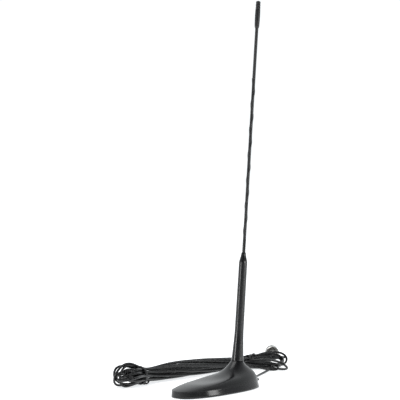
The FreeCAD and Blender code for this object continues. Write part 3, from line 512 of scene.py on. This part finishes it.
def finished_mesh(build, name, sharp):
    # smooth faces that look outward, with the edges above an angle kept sharp
    for face in build.faces:
        face.smooth = True
    bmesh.ops.recalc_face_normals(build, faces=build.faces)
    mesh = bpy.data.meshes.new(name)
    build.to_mesh(mesh)
    build.free()
    mesh.set_sharp_from_angle(angle=math.radians(sharp))
    return mesh


def stand_in(node, body, material):
    # a closed, smooth copy of a CAD piece, which then stands for it
    mesh = bpy.data.meshes.new(node + "_skin")
    build = bmesh.new()
    build.from_mesh(NODES[node].data)
    bmesh.ops.remove_doubles(build, verts=build.verts, dist=2 * MICRON)
    for face in build.faces:
        face.smooth = True
    build.to_mesh(mesh)
    build.free()
    mesh.materials.clear()
    mesh.materials.append(material)
    mesh.set_sharp_from_angle(angle=math.radians(SHARP["mast"]))
    piece = placed(node + "_skin", mesh)
    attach(piece, body)
    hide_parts(node)


# ---- the base cover


def cover_outline(turn, inset):
    # teardrop outline: rounded nose and tail with their own lengths and fullness
    across, along = np.sin(turn), np.cos(turn)
    nose = along < 0
    length = np.where(nose, COVER["nose"], COVER["length"] - COVER["nose"]) - inset
    power = 2 / np.where(nose, COVER["nose_power"], COVER["tail_power"])
    x = COVER["nose"] - COVER["length"] / 2 + np.sign(along) * length * np.abs(along) ** power
    y = np.sign(across) * (COVER["width"] / 2 - inset) * np.abs(across) ** power
    return x, y


def ends_share(turn, side, nose, tail):
    # a value of the sides that changes over to those of the nose and the tail
    at_nose = ((1 - np.cos(turn)) / 2) ** 2
    at_tail = ((1 + np.cos(turn)) / 2) ** 2
    return side + (nose - side) * at_nose + (tail - side) * at_tail


def cover_crown(x, y, v, settings):
    # how far the roof stands proud between its shoulders, ahead of the mast
    widest = COVER["nose"] - COVER["length"] / 2
    ahead = x < widest
    length = np.where(ahead, COVER["nose"], COVER["length"] - COVER["nose"])
    power = np.where(ahead, COVER["nose_power"], COVER["tail_power"])
    left = np.clip(1 - np.abs((x - widest) / length) ** power, 0.01, 1.0)
    half = COVER["width"] / 2 * left ** (1 / power)
    across = np.clip(1 - (y / half) ** 2, 0.0, 1.0)
    rising = np.clip((x - CROWN_RISES[0]) / CROWN_RISES[1], 0.0, 1.0)
    falling = np.clip((CROWN_FALLS[0] - x) / CROWN_FALLS[1], 0.0, 1.0)
    fade = rising ** 2 * (3 - 2 * rising) * falling ** 2 * (3 - 2 * falling)
    return settings.crown / MM * across * fade * (1 - (1 - v) ** CROWN_POWER)


def cover_draft(turn, settings):
    # how far the skirt leans in at its upper edge
    return ends_share(turn, COVER["draft"], settings.nose_draft / MM, COVER["draft"])


def cover_level(turn, v, inset, drop, top_radius, settings):
    # one level of the roof, from the skirt's edge at v = 0 to the platform at v = 1
    side, tail = COVER["edge"]
    edge = ends_share(turn, side, settings.nose_rise, tail)
    slope = ends_share(turn, *COVER["slope"])
    share = edge * (1 - (1 - v) ** COVER["edge_power"]) + slope * v
    share = share + (1 - edge - slope) * v ** COVER["peak_power"]
    draft = cover_draft(turn, settings)
    edge_x, edge_y = cover_outline(turn, inset + draft + COVER["inset"] * share)
    x = edge_x + (COVER["mast_x"] + top_radius * np.cos(turn) - edge_x) * v
    y = edge_y + (top_radius * np.sin(turn) - edge_y) * v
    low, high = COVER["skirt"] - drop, COVER["height"] - drop
    lean = math.tan(math.radians(COVER["rake"])) * np.clip(share, 0, 1) ** COVER["lean_power"]
    crown = cover_crown(x, y, v, settings)
    return x, y, low + (high - low) * share - lean * (x - COVER["mast_x"]) + crown


def cover_skirt(turn, f, inset, drop, bottom, settings):
    # from the skirt's edge at f = 0 down to its foot at f = 1
    x, y = cover_outline(turn, inset + cover_draft(turn, settings) * (1 - f))
    top = COVER["skirt"] - drop
    return x, y, np.full_like(x, top + (bottom - top) * f)


def cover_bore(turn, depth):
    # ring of the mast's hole, square to the raked mast
    rake = math.radians(COVER["rake"])
    x = COVER["bore"] * np.cos(turn)
    along = x * math.cos(rake) - depth * math.sin(rake)
    z = -x * math.sin(rake) - depth * math.cos(rake)
    return COVER["mast_x"] + along, COVER["bore"] * np.sin(turn), COVER["height"] + z


def cover_mesh(settings):
    turn = np.linspace(0, 2 * math.pi, settings.sectors, endpoint=False)
    steps = np.linspace(0, 1, COVER_LEVELS)
    levels = 0.5 * (1 - np.cos(math.pi * steps)) * LEVEL_EASE
    levels = levels + (1 - LEVEL_EASE) * steps ** LEVEL_POWER
    round_off = settings.foot_round / MM
    top, wall, roof, bottom = (COVER[name] for name in ("platform", "wall", "roof", "bottom"))
    rings = [cover_bore(turn, 0.0)]
    rings += [cover_level(turn, v, 0.0, 0.0, top, settings) for v in levels[::-1]]
    crease = len(rings) - 1
    rings += [cover_skirt(turn, f, 0.0, 0.0, bottom + round_off, settings) for f in SKIRT_STEPS]
    for f in FOOT_STEPS:
        x, y = cover_outline(turn, round_off * (1 - math.sqrt(1 - f * f)))
        rings.append((x, y, np.full_like(x, bottom + round_off * (1 - f))))
    # the inner skin, up from its foot
    rings += [cover_skirt(turn, f, wall, roof, bottom, settings) for f in (1.0, 0.0)]
    inner = [*levels[1::2], 1.0]
    rings += [cover_level(turn, v, wall, roof, top - wall, settings) for v in inner]
    rings.append(cover_bore(turn, roof))
    build = bmesh.new()
    grid = [[build.verts.new((x * MM, y * MM, z * MM)) for x, y, z in zip(*ring)] for ring in rings]
    count = len(turn)
    for i, ring in enumerate(grid):
        after = grid[(i + 1) % len(grid)]
        for k in range(count):
            beside = (k + 1) % count
            build.faces.new((ring[k], after[k], after[beside], ring[beside]))
    mesh = finished_mesh(build, "base_cover_skin", SHARP["cover"])
    for edge in mesh.edges:
        # the shoulder's lower edge is a crease all round
        if all(corner // count == crease for corner in edge.vertices):
            edge.use_edge_sharp = True
    return mesh


# ---- the tip cap


def on_mast(x, y, w):
    # from the mast's own frame, in millimetres, into the part's frame
    rake = math.radians(COVER["rake"])
    return Vector((
        (COVER["mast_x"] + x * math.cos(rake) + w * math.sin(rake)) * MM,
        y * MM,
        (COVER["height"] - x * math.sin(rake) + w * math.cos(rake)) * MM,
    ))


def cap_radius(w, settings):
    # the cap's side, fattest above its middle, with soft rings near the top
    side = np.interp(w, CAP_HEIGHTS, CAP_RADII)
    for below in CAP_RINGS_BELOW_TOP:
        near = (w - (CAP_HEIGHTS[-1] - below)) / (settings.ring_width / MM / 2)
        side -= settings.ring_depth / MM * math.exp(-near ** 4)
    return side


def cap_mesh(settings, sectors=48):
    foot, top = CAP_HEIGHTS[0], CAP_HEIGHTS[-1]
    rows = [
        (CAP_BORE, foot + CAP_BORE_DEPTH),
        (CAP_BORE, foot + 0.3),
        (CAP_BORE + CAP_CHAMFER, foot),
        (cap_radius(foot, settings) - CAP_CHAMFER, foot),
        (cap_radius(foot + 0.2, settings), foot + 0.2),
    ]
    side = np.linspace(foot + 0.5, top - CAP_DOME, CAP_ROWS)
    rows += [(cap_radius(w, settings), w) for w in side]
    last = rows[-1][0]
    rows += [
        (last * math.cos(t) ** CAP_DOME_POWER, top - CAP_DOME + CAP_DOME * math.sin(t))
        for t in np.linspace(0, math.pi / 2, 9)[1:-1]
    ]
    build = bmesh.new()
    turns = [2 * math.pi * k / sectors for k in range(sectors)]
    grid = []
    for radius, w in rows:
        ring = [on_mast(radius * math.cos(t), radius * math.sin(t), w) for t in turns]
        grid.append([build.verts.new(place) for place in ring])
    for low, high in zip(grid, grid[1:]):
        for k in range(sectors):
            after = (k + 1) % sectors
            build.faces.new((low[k], low[after], high[after], high[k]))
    for ring, w in ((grid[0], foot + CAP_BORE_DEPTH), (grid[-1], top)):
        pole = build.verts.new(on_mast(0.0, 0.0, w))
        for k in range(sectors):
            build.faces.new((ring[k], ring[(k + 1) % sectors], pole))
    return finished_mesh(build, "tip_cap_skin", SHARP["cap"])


# ---- the ties


def wire_group():
    # sweeps a round wire along a path, closes its ends and gives it its finish
    tree, given, out = node_group(
        "swept_wire",
        [
            ("Path", "NodeSocketGeometry", None),
            ("Wire radius", "NodeSocketFloat", LEFT_TIE["wire"]),
            *WIRE_INPUTS,
            ("Finish", "NodeSocketMaterial", None),
        ],
        [("Wire", "NodeSocketGeometry")],
        "GeometryNodeTree",
    )
    new, link = tree.nodes.new, tree.links.new
    to_curve = new("GeometryNodeMeshToCurve")
    evened = new("GeometryNodeResampleCurve")
    evened.inputs["Count"].default_value = WIRE_POINTS
    # the girth of each point: between one less the bruising, and one
    girth = new("FunctionNodeRandomValue")
    girth.data_type = "FLOAT"
    thinnest = new("ShaderNodeMath")
    thinnest.operation = "SUBTRACT"
    thinnest.inputs[0].default_value = 1.0
    radius = new("GeometryNodeSetCurveRadius")
    ring = new("GeometryNodeCurvePrimitiveCircle")
    sweep = new("GeometryNodeCurveToMesh")
    sweep.inputs["Fill Caps"].default_value = True
    real = new("GeometryNodeRealizeInstances")
    finish = new("GeometryNodeSetMaterial")
    link(given.outputs["Path"], to_curve.inputs["Mesh"])
    link(to_curve.outputs["Curve"], evened.inputs["Curve"])
    link(evened.outputs["Curve"], radius.inputs["Curve"])
    link(given.outputs["Bruising"], thinnest.inputs[1])
    least, most = (socket for socket in girth.inputs if socket.type == "VALUE" and socket.enabled)
    link(thinnest.outputs["Value"], least)
    most.default_value = 1.0
    link(given.outputs["Seed"], girth.inputs["Seed"])
    value = next(socket for socket in girth.outputs if socket.type == "VALUE" and socket.enabled)
    link(value, radius.inputs["Radius"])
    link(radius.outputs["Curve"], sweep.inputs["Curve"])
    link(given.outputs["Wire radius"], ring.inputs["Radius"])
    link(given.outputs["Sides"], ring.inputs["Resolution"])
    link(ring.outputs["Curve"], sweep.inputs["Profile Curve"])
    if "Scale" in sweep.inputs:
        # later versions take the girth here as well
        link(value, sweep.inputs["Scale"])
    link(sweep.outputs["Mesh"], real.inputs["Geometry"])
    link(real.outputs["Geometry"], finish.inputs["Geometry"])
    link(given.outputs["Finish"], finish.inputs["Material"])
    link(finish.outputs["Geometry"], out.inputs["Wire"])
    return tree


def tie_path(tie):
    # windings round the bundle, each with its own slant, then a knob and a loose tail
    middle = Middle()
    start = middle.distance(tie["index"])
    count = len(tie["slant"])
    points = []
    away = tie["wire"] * TIE_STANDOFF
    for i in range(int(tie["turns"] * TIE_STEPS) + 1):
        turn = i / TIE_STEPS
        theta = tie["knob"] + 2 * math.pi * turn
        slant = tie["slant"][min(int(turn), count - 1)] * math.sin(theta - tie["knob"])
        a = start + tie["pitch"] * (turn - tie["turns"] / 2) + slant
        _, _, half_width, half_height = middle.read(a)
        across = (half_width + away) * math.cos(theta)
        rise = (half_height + away) * math.sin(theta)
        points.append(middle.point(a, across, rise))
    last = points[-1]
    theta = tie["knob"]
    place, way, _, _ = middle.read(start)
    out = middle.point(start, math.cos(theta), math.sin(theta)) - place
    side = Vector((-way.y, way.x, 0.0))
    for i in range(1, KNOB_STEPS + 1):
        # the twisted knob
        turn = 2 * math.pi * i * KNOB_TURNS / KNOB_STEPS
        swing = out * (KNOB_START + KNOB_GROWTH * i / KNOB_STEPS)
        swing += way * KNOB_RADIUS * math.cos(turn) + out.cross(way) * KNOB_RADIUS * math.sin(turn)
        points.append(last + swing)
    knob = points[-1]
    for along, across, rise in tie["tail"]:
        points.append(knob + way * along + side * across + Vector((0.0, 0.0, rise)))
    for point in points:
        point.z = max(point.z, tie["wire"] + FLOOR_GAP)
    return points


def wire_piece(name, points, tie, material):
    # the path swept by the node tree, kept as a mesh of its own
    path = bpy.data.meshes.new(name + "_path")
    path.from_pydata([tuple(p) for p in points], [(i, i + 1) for i in range(len(points) - 1)], [])
    guide = placed(name + "_path", path)
    tree = bpy.data.node_groups.get("swept_wire") or wire_group()
    modifier = guide.modifiers.new("swept_wire", "NODES")
    modifier.node_group = tree
    items = tree.interface.items_tree
    sockets = {item.name: item.identifier for item in items if item.in_out == "INPUT"}
    modifier[sockets["Wire radius"]] = tie["wire"]
    for label, _, value in WIRE_INPUTS:
        modifier[sockets[label]] = value
    modifier[sockets["Finish"]] = material
    guide.update_tag()
    evaluated = guide.evaluated_get(bpy.context.evaluated_depsgraph_get())
    mesh = bpy.data.meshes.new_from_object(evaluated)
    guide.modifiers.clear()
    bpy.data.objects.remove(guide)
    build = bmesh.new()
    build.from_mesh(mesh)
    bmesh.ops.remove_doubles(build, verts=build.verts, dist=MICRON)
    for face in build.faces:
        face.smooth = True
    bmesh.ops.recalc_face_normals(build, faces=build.faces)
    build.to_mesh(mesh)
    build.free()
    return placed(name, mesh)


# ---- the hank's path


def station_at(index):
    # smooth row between the stations
    last = len(HANK_STATIONS) - 1
    index = max(0.0, min(float(last), index))
    i = min(int(index), last - 1)
    f = index - i
    near = (max(0, min(last, k)) for k in (i - 1, i, i + 1, i + 2))
    a, b, c, d = (np.array(HANK_STATIONS[k]) for k in near)
    squared, cubed = 2 * a - 5 * b + 4 * c - d, 3 * b - a - 3 * c + d
    return 0.5 * (2 * b + (c - a) * f + squared * f ** 2 + cubed * f ** 3)


class Middle:
    """The hank's middle line, read by the distance along it."""

    def __init__(self):
        count = (len(HANK_STATIONS) - 1) * STATION_STEPS + 1
        self.index = np.arange(0, count) / STATION_STEPS
        self.rows = np.array([station_at(i) for i in self.index])
        steps = np.linalg.norm(np.diff(self.rows[:, :2], axis=0), axis=1)
        self.along = np.concatenate([[0.0], np.cumsum(steps)])

    def distance(self, index):
        return float(np.interp(index, self.index, self.along))

    def row(self, a):
        return [float(np.interp(a, self.along, column)) for column in self.rows.T]

    def read(self, a):
        # place, way, half width and half height; past its ends the line runs on straight
        inside = min(max(a, 0.0), self.along[-1])
        x, y, half_width, half_height, gap = self.row(inside)
        before, after = self.row(inside - WAY_REACH), self.row(inside + WAY_REACH)
        way = Vector((after[0] - before[0], after[1] - before[1], 0.0)).normalized()
        place = Vector((x, y, gap + half_height)) + way * (a - inside)
        return place, way, half_width, half_height

    def point(self, a, across, rise):
        place, way, _, _ = self.read(a)
        return place + Vector((-way.y, way.x, 0.0)) * across + Vector((0.0, 0.0, rise))


def strand_offset(middle, cord, a, ring, angle):
    # where a strand runs in the bundle's cross-section, which turns from tie to tie
    a_left = middle.distance(LEFT_NECK)
    a_right = middle.distance(RIGHT_NECK)
    _, _, half_width, half_height = middle.read(a)
    turn = angle + cord.twist * (a - a_left) / (a_right - a_left)
    radius = cord.diameter / 2
    return Vector((
        ring * math.cos(turn) * (half_width - radius),
        ring * math.sin(turn) * (half_height - radius),
    ))


def strand(middle, cord, start, end, ring, angle, chance):
    # one strand from end to end of the bundle, straying a little from its place
    points = []
    phase = chance.uniform(0, 2 * math.pi)
    for i in range(STRAND_POINTS):
        f = i / (STRAND_POINTS - 1)
        a = start + (end - start) * f
        off = strand_offset(middle, cord, a, ring, angle)
        sway = cord.waver * math.sin(math.pi * f)
        across = off.x + sway * math.sin(phase + WAVER_ACROSS * f)
        wave = math.cos(phase * WAVER_SHIFT + WAVER_UP * f)
        rise = off.y + WAVER_UP_SHARE * sway * wave
        points.append(middle.point(a, across, rise))
    return points


def loop(middle, cord, neck, way, reach, width, tall, first, last, lean, lift=0.0):
    # out from one place in the bundle, round, and back; lean turns it aside and lift raises it
    points = []
    lowest = cord.diameter / 2 + FLOOR_GAP
    for i in range(1, LOOP_POINTS):
        u = i / LOOP_POINTS
        a = neck + way * reach * math.sin(math.pi * u) ** LOOP_POWER
        swing = abs(math.sin(2 * math.pi * u))
        off = first if u < 0.5 else last
        size = swing * width + off.length * math.cos(math.pi * u) ** 2 * (1 - swing)
        side = off.normalized() * size
        out = math.sin(math.pi * u)
        point = middle.point(a, side.x + lean * (a - neck) * way, side.y * tall + lift * out)
        point.z = max(point.z, lowest)
        points.append(point)
    return points


def hank_points(cord):
    # the lead, then turn after turn of the hank, and out to the plug
    chance = random.Random(cord.seed)
    middle = Middle()
    left = middle.distance(LEFT_NECK)
    right = middle.distance(RIGHT_NECK)
    points = [Vector(p) for p in LEAD_ROUTE + ENTRY_ROUTE]
    for k, (degrees, ring) in enumerate(zip(TURN_ANGLES, TURN_RINGS)):
        angle = math.radians(degrees)
        points += strand(middle, cord, right, left, ring, angle, chance)
        off = strand_offset(middle, cord, left, ring, angle)
        points += loop(
            middle, cord, left, -1, LEFT_REACH[k], LEFT_SPREAD[k], LEFT_TALL, off, -off,
            LEFT_LEAN[k],
        )
        points += strand(middle, cord, left, right, ring, angle + math.pi, chance)
        if k < len(TURN_ANGLES) - 1:
            off = strand_offset(middle, cord, right, ring, angle + math.pi)
            next_angle = math.radians(TURN_ANGLES[k + 1])
            after = strand_offset(middle, cord, right, TURN_RINGS[k + 1], next_angle)
            points += loop(
                middle, cord, right, 1, RIGHT_REACH[k], RIGHT_SPREAD[k], RIGHT_TALL, off, after,
                RIGHT_LEAN[k], RIGHT_LIFT[k],
            )
    points += [Vector(p) for p in EXIT_ROUTE]
    return points


def eased(points, cord, held):
    # turns that cross are pushed to a diameter apart, and the bends are evened out
    path = np.array([tuple(p) for p in points])
    steps = np.linalg.norm(np.diff(path, axis=0), axis=1)
    along = np.concatenate([[0.0], np.cumsum(steps)])
    count = int((along[-1] - along[held]) / EASE["spacing"])
    places = np.linspace(along[held], along[-1], count)
    line = np.stack([np.interp(places, along, path[:, k]) for k in range(3)], 1)
    for _ in range(2):
        line[1:-1] = 0.5 * line[1:-1] + 0.25 * (line[:-2] + line[2:])
    apart = cord.diameter * EASE["apart"]
    lowest = cord.diameter / 2 + FLOOR_GAP
    order = np.arange(count)
    distant = abs(order[:, None] - order[None, :]) > EASE["neighbours"]
    for _ in range(EASE["rounds"]):
        gap = line[:, None, :] - line[None, :, :]
        size = np.sqrt((gap ** 2).sum(2)) + 1e-9
        push = np.where((size < apart) & distant, (apart - size) / size, 0.0)
        move = (gap * push[:, :, None]).sum(1) * EASE["push"]
        sag = np.zeros_like(line)
        sag[1:-1] = 0.5 * (line[:-2] + line[2:]) - line[1:-1]
        bend = np.zeros_like(line)
        bend[2:-2] = sag[2:-2] - 0.5 * (sag[1:-3] + sag[3:-1])
        line[2:-1] += (move + EASE["bend"] * bend + EASE["sag"] * sag)[2:-1]
        line[:, 2] = np.maximum(line[:, 2], lowest)
    return [Vector(p) for p in line]


def curve_piece(name, points, radius, sides=3, resolution=3):
    curve = bpy.data.curves.new(name, "CURVE")
    curve.dimensions = "3D"
    curve.bevel_depth = radius
    curve.bevel_resolution = sides
    curve.use_fill_caps = True
    spline = curve.splines.new("NURBS")
    spline.points.add(len(points) - 1)
    for item, place in zip(spline.points, points):
        item.co = (*place, 1.0)
    spline.order_u = 3
    spline.use_endpoint_u = True
    spline.resolution_u = resolution
    return placed(name, curve)


# ---- operators


class ANTENNA_OT_stage(bpy.types.Operator):
    """Sets the camera, the pale floor and the soft lights"""

    bl_idname = "antenna.stage"
    bl_label = "Studio and camera"

    def execute(self, context):
        scene = context.scene
        settings = scene.antenna_stage
        camera = placed("camera", bpy.data.cameras.new("camera"))
        camera.data.sensor_width = SENSOR
        camera.data.lens = CAMERA_LENS
        camera.data.clip_start = 0.05
        azimuth = math.radians(CAMERA_AZIMUTH)
        pitch = math.radians(CAMERA_PITCH)
        level = math.cos(pitch)
        look = Vector((-math.sin(azimuth) * level, math.cos(azimuth) * level, math.sin(pitch)))
        camera.location = CAMERA_PLACE
        camera.rotation_euler = look.to_track_quat("-Z", "Y").to_euler()
        scene.camera = camera
        scene.view_settings.view_transform = "Standard"

        mesh = bpy.data.meshes.new("floor")
        build = bmesh.new()
        bmesh.ops.create_grid(build, x_segments=2, y_segments=2, size=FLOOR_SIZE)
        build.to_mesh(mesh)
        build.free()
        floor = placed("floor", mesh)
        material, _, shader = new_material("floor_pale")
        tone = settings.floor_tone
        shader.inputs["Base Color"].default_value = (tone, tone, tone, 1.0)
        shader.inputs["Roughness"].default_value = 0.9
        shader.inputs["Specular IOR Level"].default_value = 0.1
        shader.inputs["Emission Color"].default_value = FLOOR_TINT
        shader.inputs["Emission Strength"].default_value = settings.floor_glow
        mesh.materials.append(material)

        self.backdrop(scene, look, settings)
        self.softbox("key", settings.key_power)
        self.softbox("strip_left", settings.strip_power)
        self.softbox("strip_right", settings.strip_power)
        self.softbox("strip_side", SIDE_SHARE * settings.strip_power)
        return {"FINISHED"}

    def backdrop(self, scene, look, settings):
        # white behind the object, falling off to a dim room behind the camera
        world = bpy.data.worlds.new("studio")
        scene.world = world
        world.use_nodes = True
        tree = world.node_tree
        new, link = tree.nodes.new, tree.links.new
        background = tree.nodes["Background"]
        background.inputs["Color"].default_value = SKY_TINT
        coord = new("ShaderNodeTexCoord")
        facing = new("ShaderNodeVectorMath")
        facing.operation = "DOT_PRODUCT"
        facing.inputs[1].default_value = look
        tone = mapped(tree, facing.outputs["Value"], SKY_BAND, settings.room, settings.fill)
        tone.interpolation_type = "SMOOTHSTEP"
        # seen directly, the backdrop is white all round
        seen = new("ShaderNodeLightPath")
        level = new("ShaderNodeMix")
        level.data_type = "FLOAT"
        level.inputs["B"].default_value = settings.fill
        link(coord.outputs["Generated"], facing.inputs[0])
        link(seen.outputs["Is Camera Ray"], level.inputs["Factor"])
        link(tone.outputs["Result"], level.inputs["A"])
        link(level.outputs["Result"], background.inputs["Strength"])

    def softbox(self, name, power):
        place, aim, size = SOFTBOXES[name]
        light = bpy.data.lights.new(name, "AREA")
        light.shape = "SQUARE"
        light.size = size
        light.energy = power
        box = placed(name, light)
        box.location = place
        box.rotation_euler = (Vector(aim) - Vector(place)).to_track_quat("-Z", "Y").to_euler()


class ANTENNA_OT_finishes(bpy.types.Operator):
    """Builds the shared shader groups"""

    bl_idname = "antenna.finishes"
    bl_label = "Shared finishes"

    def execute(self, context):
        GROUPS["moulded_grain"] = grain_group()
        GROUPS["painted_edge_highlight"] = edge_group()
        return {"FINISHED"}


class ANTENNA_OT_base(bpy.types.Operator):
    """Dresses the base cover, its bottom plate and the foot pad"""

    bl_idname = "antenna.base"
    bl_label = "Base"

    def execute(self, context):
        finish = context.scene.antenna_finish
        cover = plastic_with_painted_highlight(
            "cover_satin", finish.cover_color, finish.cover_roughness, finish.grain, 0.00002,
            specular=0.36, skirt=0.3,
        )
        skin = placed("base_cover_skin", cover_mesh(context.scene.antenna_cover))
        skin.data.materials.append(cover)
        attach(skin, "base")
        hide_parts("base_cover")
        plate = plastic("plate_satin", finish.cover_color, 0.5, finish.grain, 0.00003)
        paint(plate, "base_plate", "cable_clamp")
        rubber = plastic("pad_rubber", (0.014, 0.014, 0.015), 0.75, 0.0011, 0.00008, specular=0.35)
        paint(rubber, "foot_pad", "cable_grommet")
        return {"FINISHED"}


class ANTENNA_OT_mast(bpy.types.Operator):
    """Dresses the mast: boot, sleeve, tip cap and seal"""

    bl_idname = "antenna.mast"
    bl_label = "Mast"

    def execute(self, context):
        finish = context.scene.antenna_finish
        boot = plastic_with_painted_highlight("boot_satin", finish.boot_color, 0.25, 0.0005, 0.000012)
        stand_in("mast_boot", "mast", boot)
        sleeve = plastic("sleeve_satin", finish.boot_color, 0.42, 0.0007, 0.00001, drift=60.0)
        stand_in("whip_sleeve", "mast", sleeve)
        cap = plastic("cap_rubber", finish.boot_color, 0.45, 0.0006, 0.00003)
        skin = placed("tip_cap_skin", cap_mesh(context.scene.antenna_mast))
        skin.data.materials.append(cap)
        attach(skin, "mast")
        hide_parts("tip_cap")
        seal = plastic("seal_rubber", (0.003, 0.003, 0.0035), 0.8, 0.0008, 0.00004, specular=0.15)
        paint(seal, "seal_ring")
        return {"FINISHED"}


class ANTENNA_OT_hardware(bpy.types.Operator):
    """Gives the metal, the board and the hidden pieces their finishes"""

    bl_idname = "antenna.hardware"
    bl_label = "Hardware"

    def execute(self, context):
        for name, color, roughness, grain, depth, metallic, nodes in HARDWARE:
            paint(plastic(name, color, roughness, grain, depth, metallic=metallic), *nodes)
        return {"FINISHED"}


class ANTENNA_OT_lead(bpy.types.Operator):
    """Lays the lead from the base through the hank to the plug, and winds the two ties"""

    bl_idname = "antenna.lead"
    bl_label = "Lead and hank"

    def execute(self, context):
        cord = context.scene.antenna_cord
        points = hank_points(cord)
        held = len(LEAD_ROUTE)
        points = points[:held] + eased(points, cord, held) + [Vector(p) for p in PLUG_ROUTE]
        lead = curve_piece("lead_cord", points, cord.diameter / 2)
        jacket = plastic(
            "lead_jacket", cord.color, 0.28, 0.0012, 0.000005, drift=45.0, specular=0.38
        )
        lead.data.materials.append(jacket)
        paint(jacket, "inner_lead")
        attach(lead, "base")
        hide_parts("lead", "cord_hank", "plug_lead")
        vinyl = plastic("tie_vinyl", (0.013, 0.013, 0.014), 0.4, 0.0007, 0.00003)
        for name, tie in (("left_tie", LEFT_TIE), ("right_tie", RIGHT_TIE)):
            piece = wire_piece(name + "_wire", tie_path(tie), tie, vinyl)
            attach(piece, "base")
            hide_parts(name)
        return {"FINISHED"}


class ANTENNA_OT_plug(bpy.types.Operator):
    """Dresses the plug and its coupling nut"""

    bl_idname = "antenna.plug"
    bl_label = "Plug"

    def execute(self, context):
        nickel = plastic("nickel_plate", (0.46, 0.45, 0.43), 0.24, 0.0006, 0.000008, metallic=1.0)
        paint(nickel, "coupling_nut", "plug_body", "plug_pin", "plug_reducer")
        resin = plastic("moulded_resin", (0.10, 0.065, 0.03), 0.4, 0.0009, 0.00003)
        paint(resin, "plug_insulator")
        return {"FINISHED"}


class ANTENNA_PT_panel(bpy.types.Panel):
    """Sidebar panel with the antenna's pieces"""

    bl_label = "Magnetic mount antenna"
    bl_space_type = "VIEW_3D"
    bl_region_type = "UI"
    bl_category = "Antenna"

    def draw(self, context):
        for setting in SETTINGS:
            owner = getattr(context.scene, setting)
            box = self.layout.box()
            for name in owner.bl_rna.properties.keys():
                if name not in ("rna_type", "name"):
                    box.prop(owner, name)
        for step in STEPS:
            self.layout.operator(step.bl_idname)


STEPS = (
    ANTENNA_OT_finishes,
    ANTENNA_OT_stage,
    ANTENNA_OT_lead,
    ANTENNA_OT_plug,
    ANTENNA_OT_base,
    ANTENNA_OT_mast,
    ANTENNA_OT_hardware,
)
SETTINGS = {
    "antenna_stage": AntennaStage,
    "antenna_cover": AntennaCover,
    "antenna_mast": AntennaMast,
    "antenna_finish": AntennaFinish,
    "antenna_cord": AntennaCord,
}
CLASSES = (*SETTINGS.values(), *STEPS, ANTENNA_PT_panel)


def register():
    for item in CLASSES:
        bpy.utils.register_class(item)
    for name, group in SETTINGS.items():
        setattr(bpy.types.Scene, name, bpy.props.PointerProperty(type=group))


def unregister():
    for name in SETTINGS:
        delattr(bpy.types.Scene, name)
    for item in reversed(CLASSES):
        bpy.utils.unregister_class(item)


def main():
    register()
    bpy.ops.antenna.finishes()
    bpy.ops.antenna.stage()
    bpy.ops.antenna.lead()
    bpy.ops.antenna.plug()
    bpy.ops.antenna.base()
    bpy.ops.antenna.mast()
    bpy.ops.antenna.hardware()


if __name__ == "__main__":
    main()
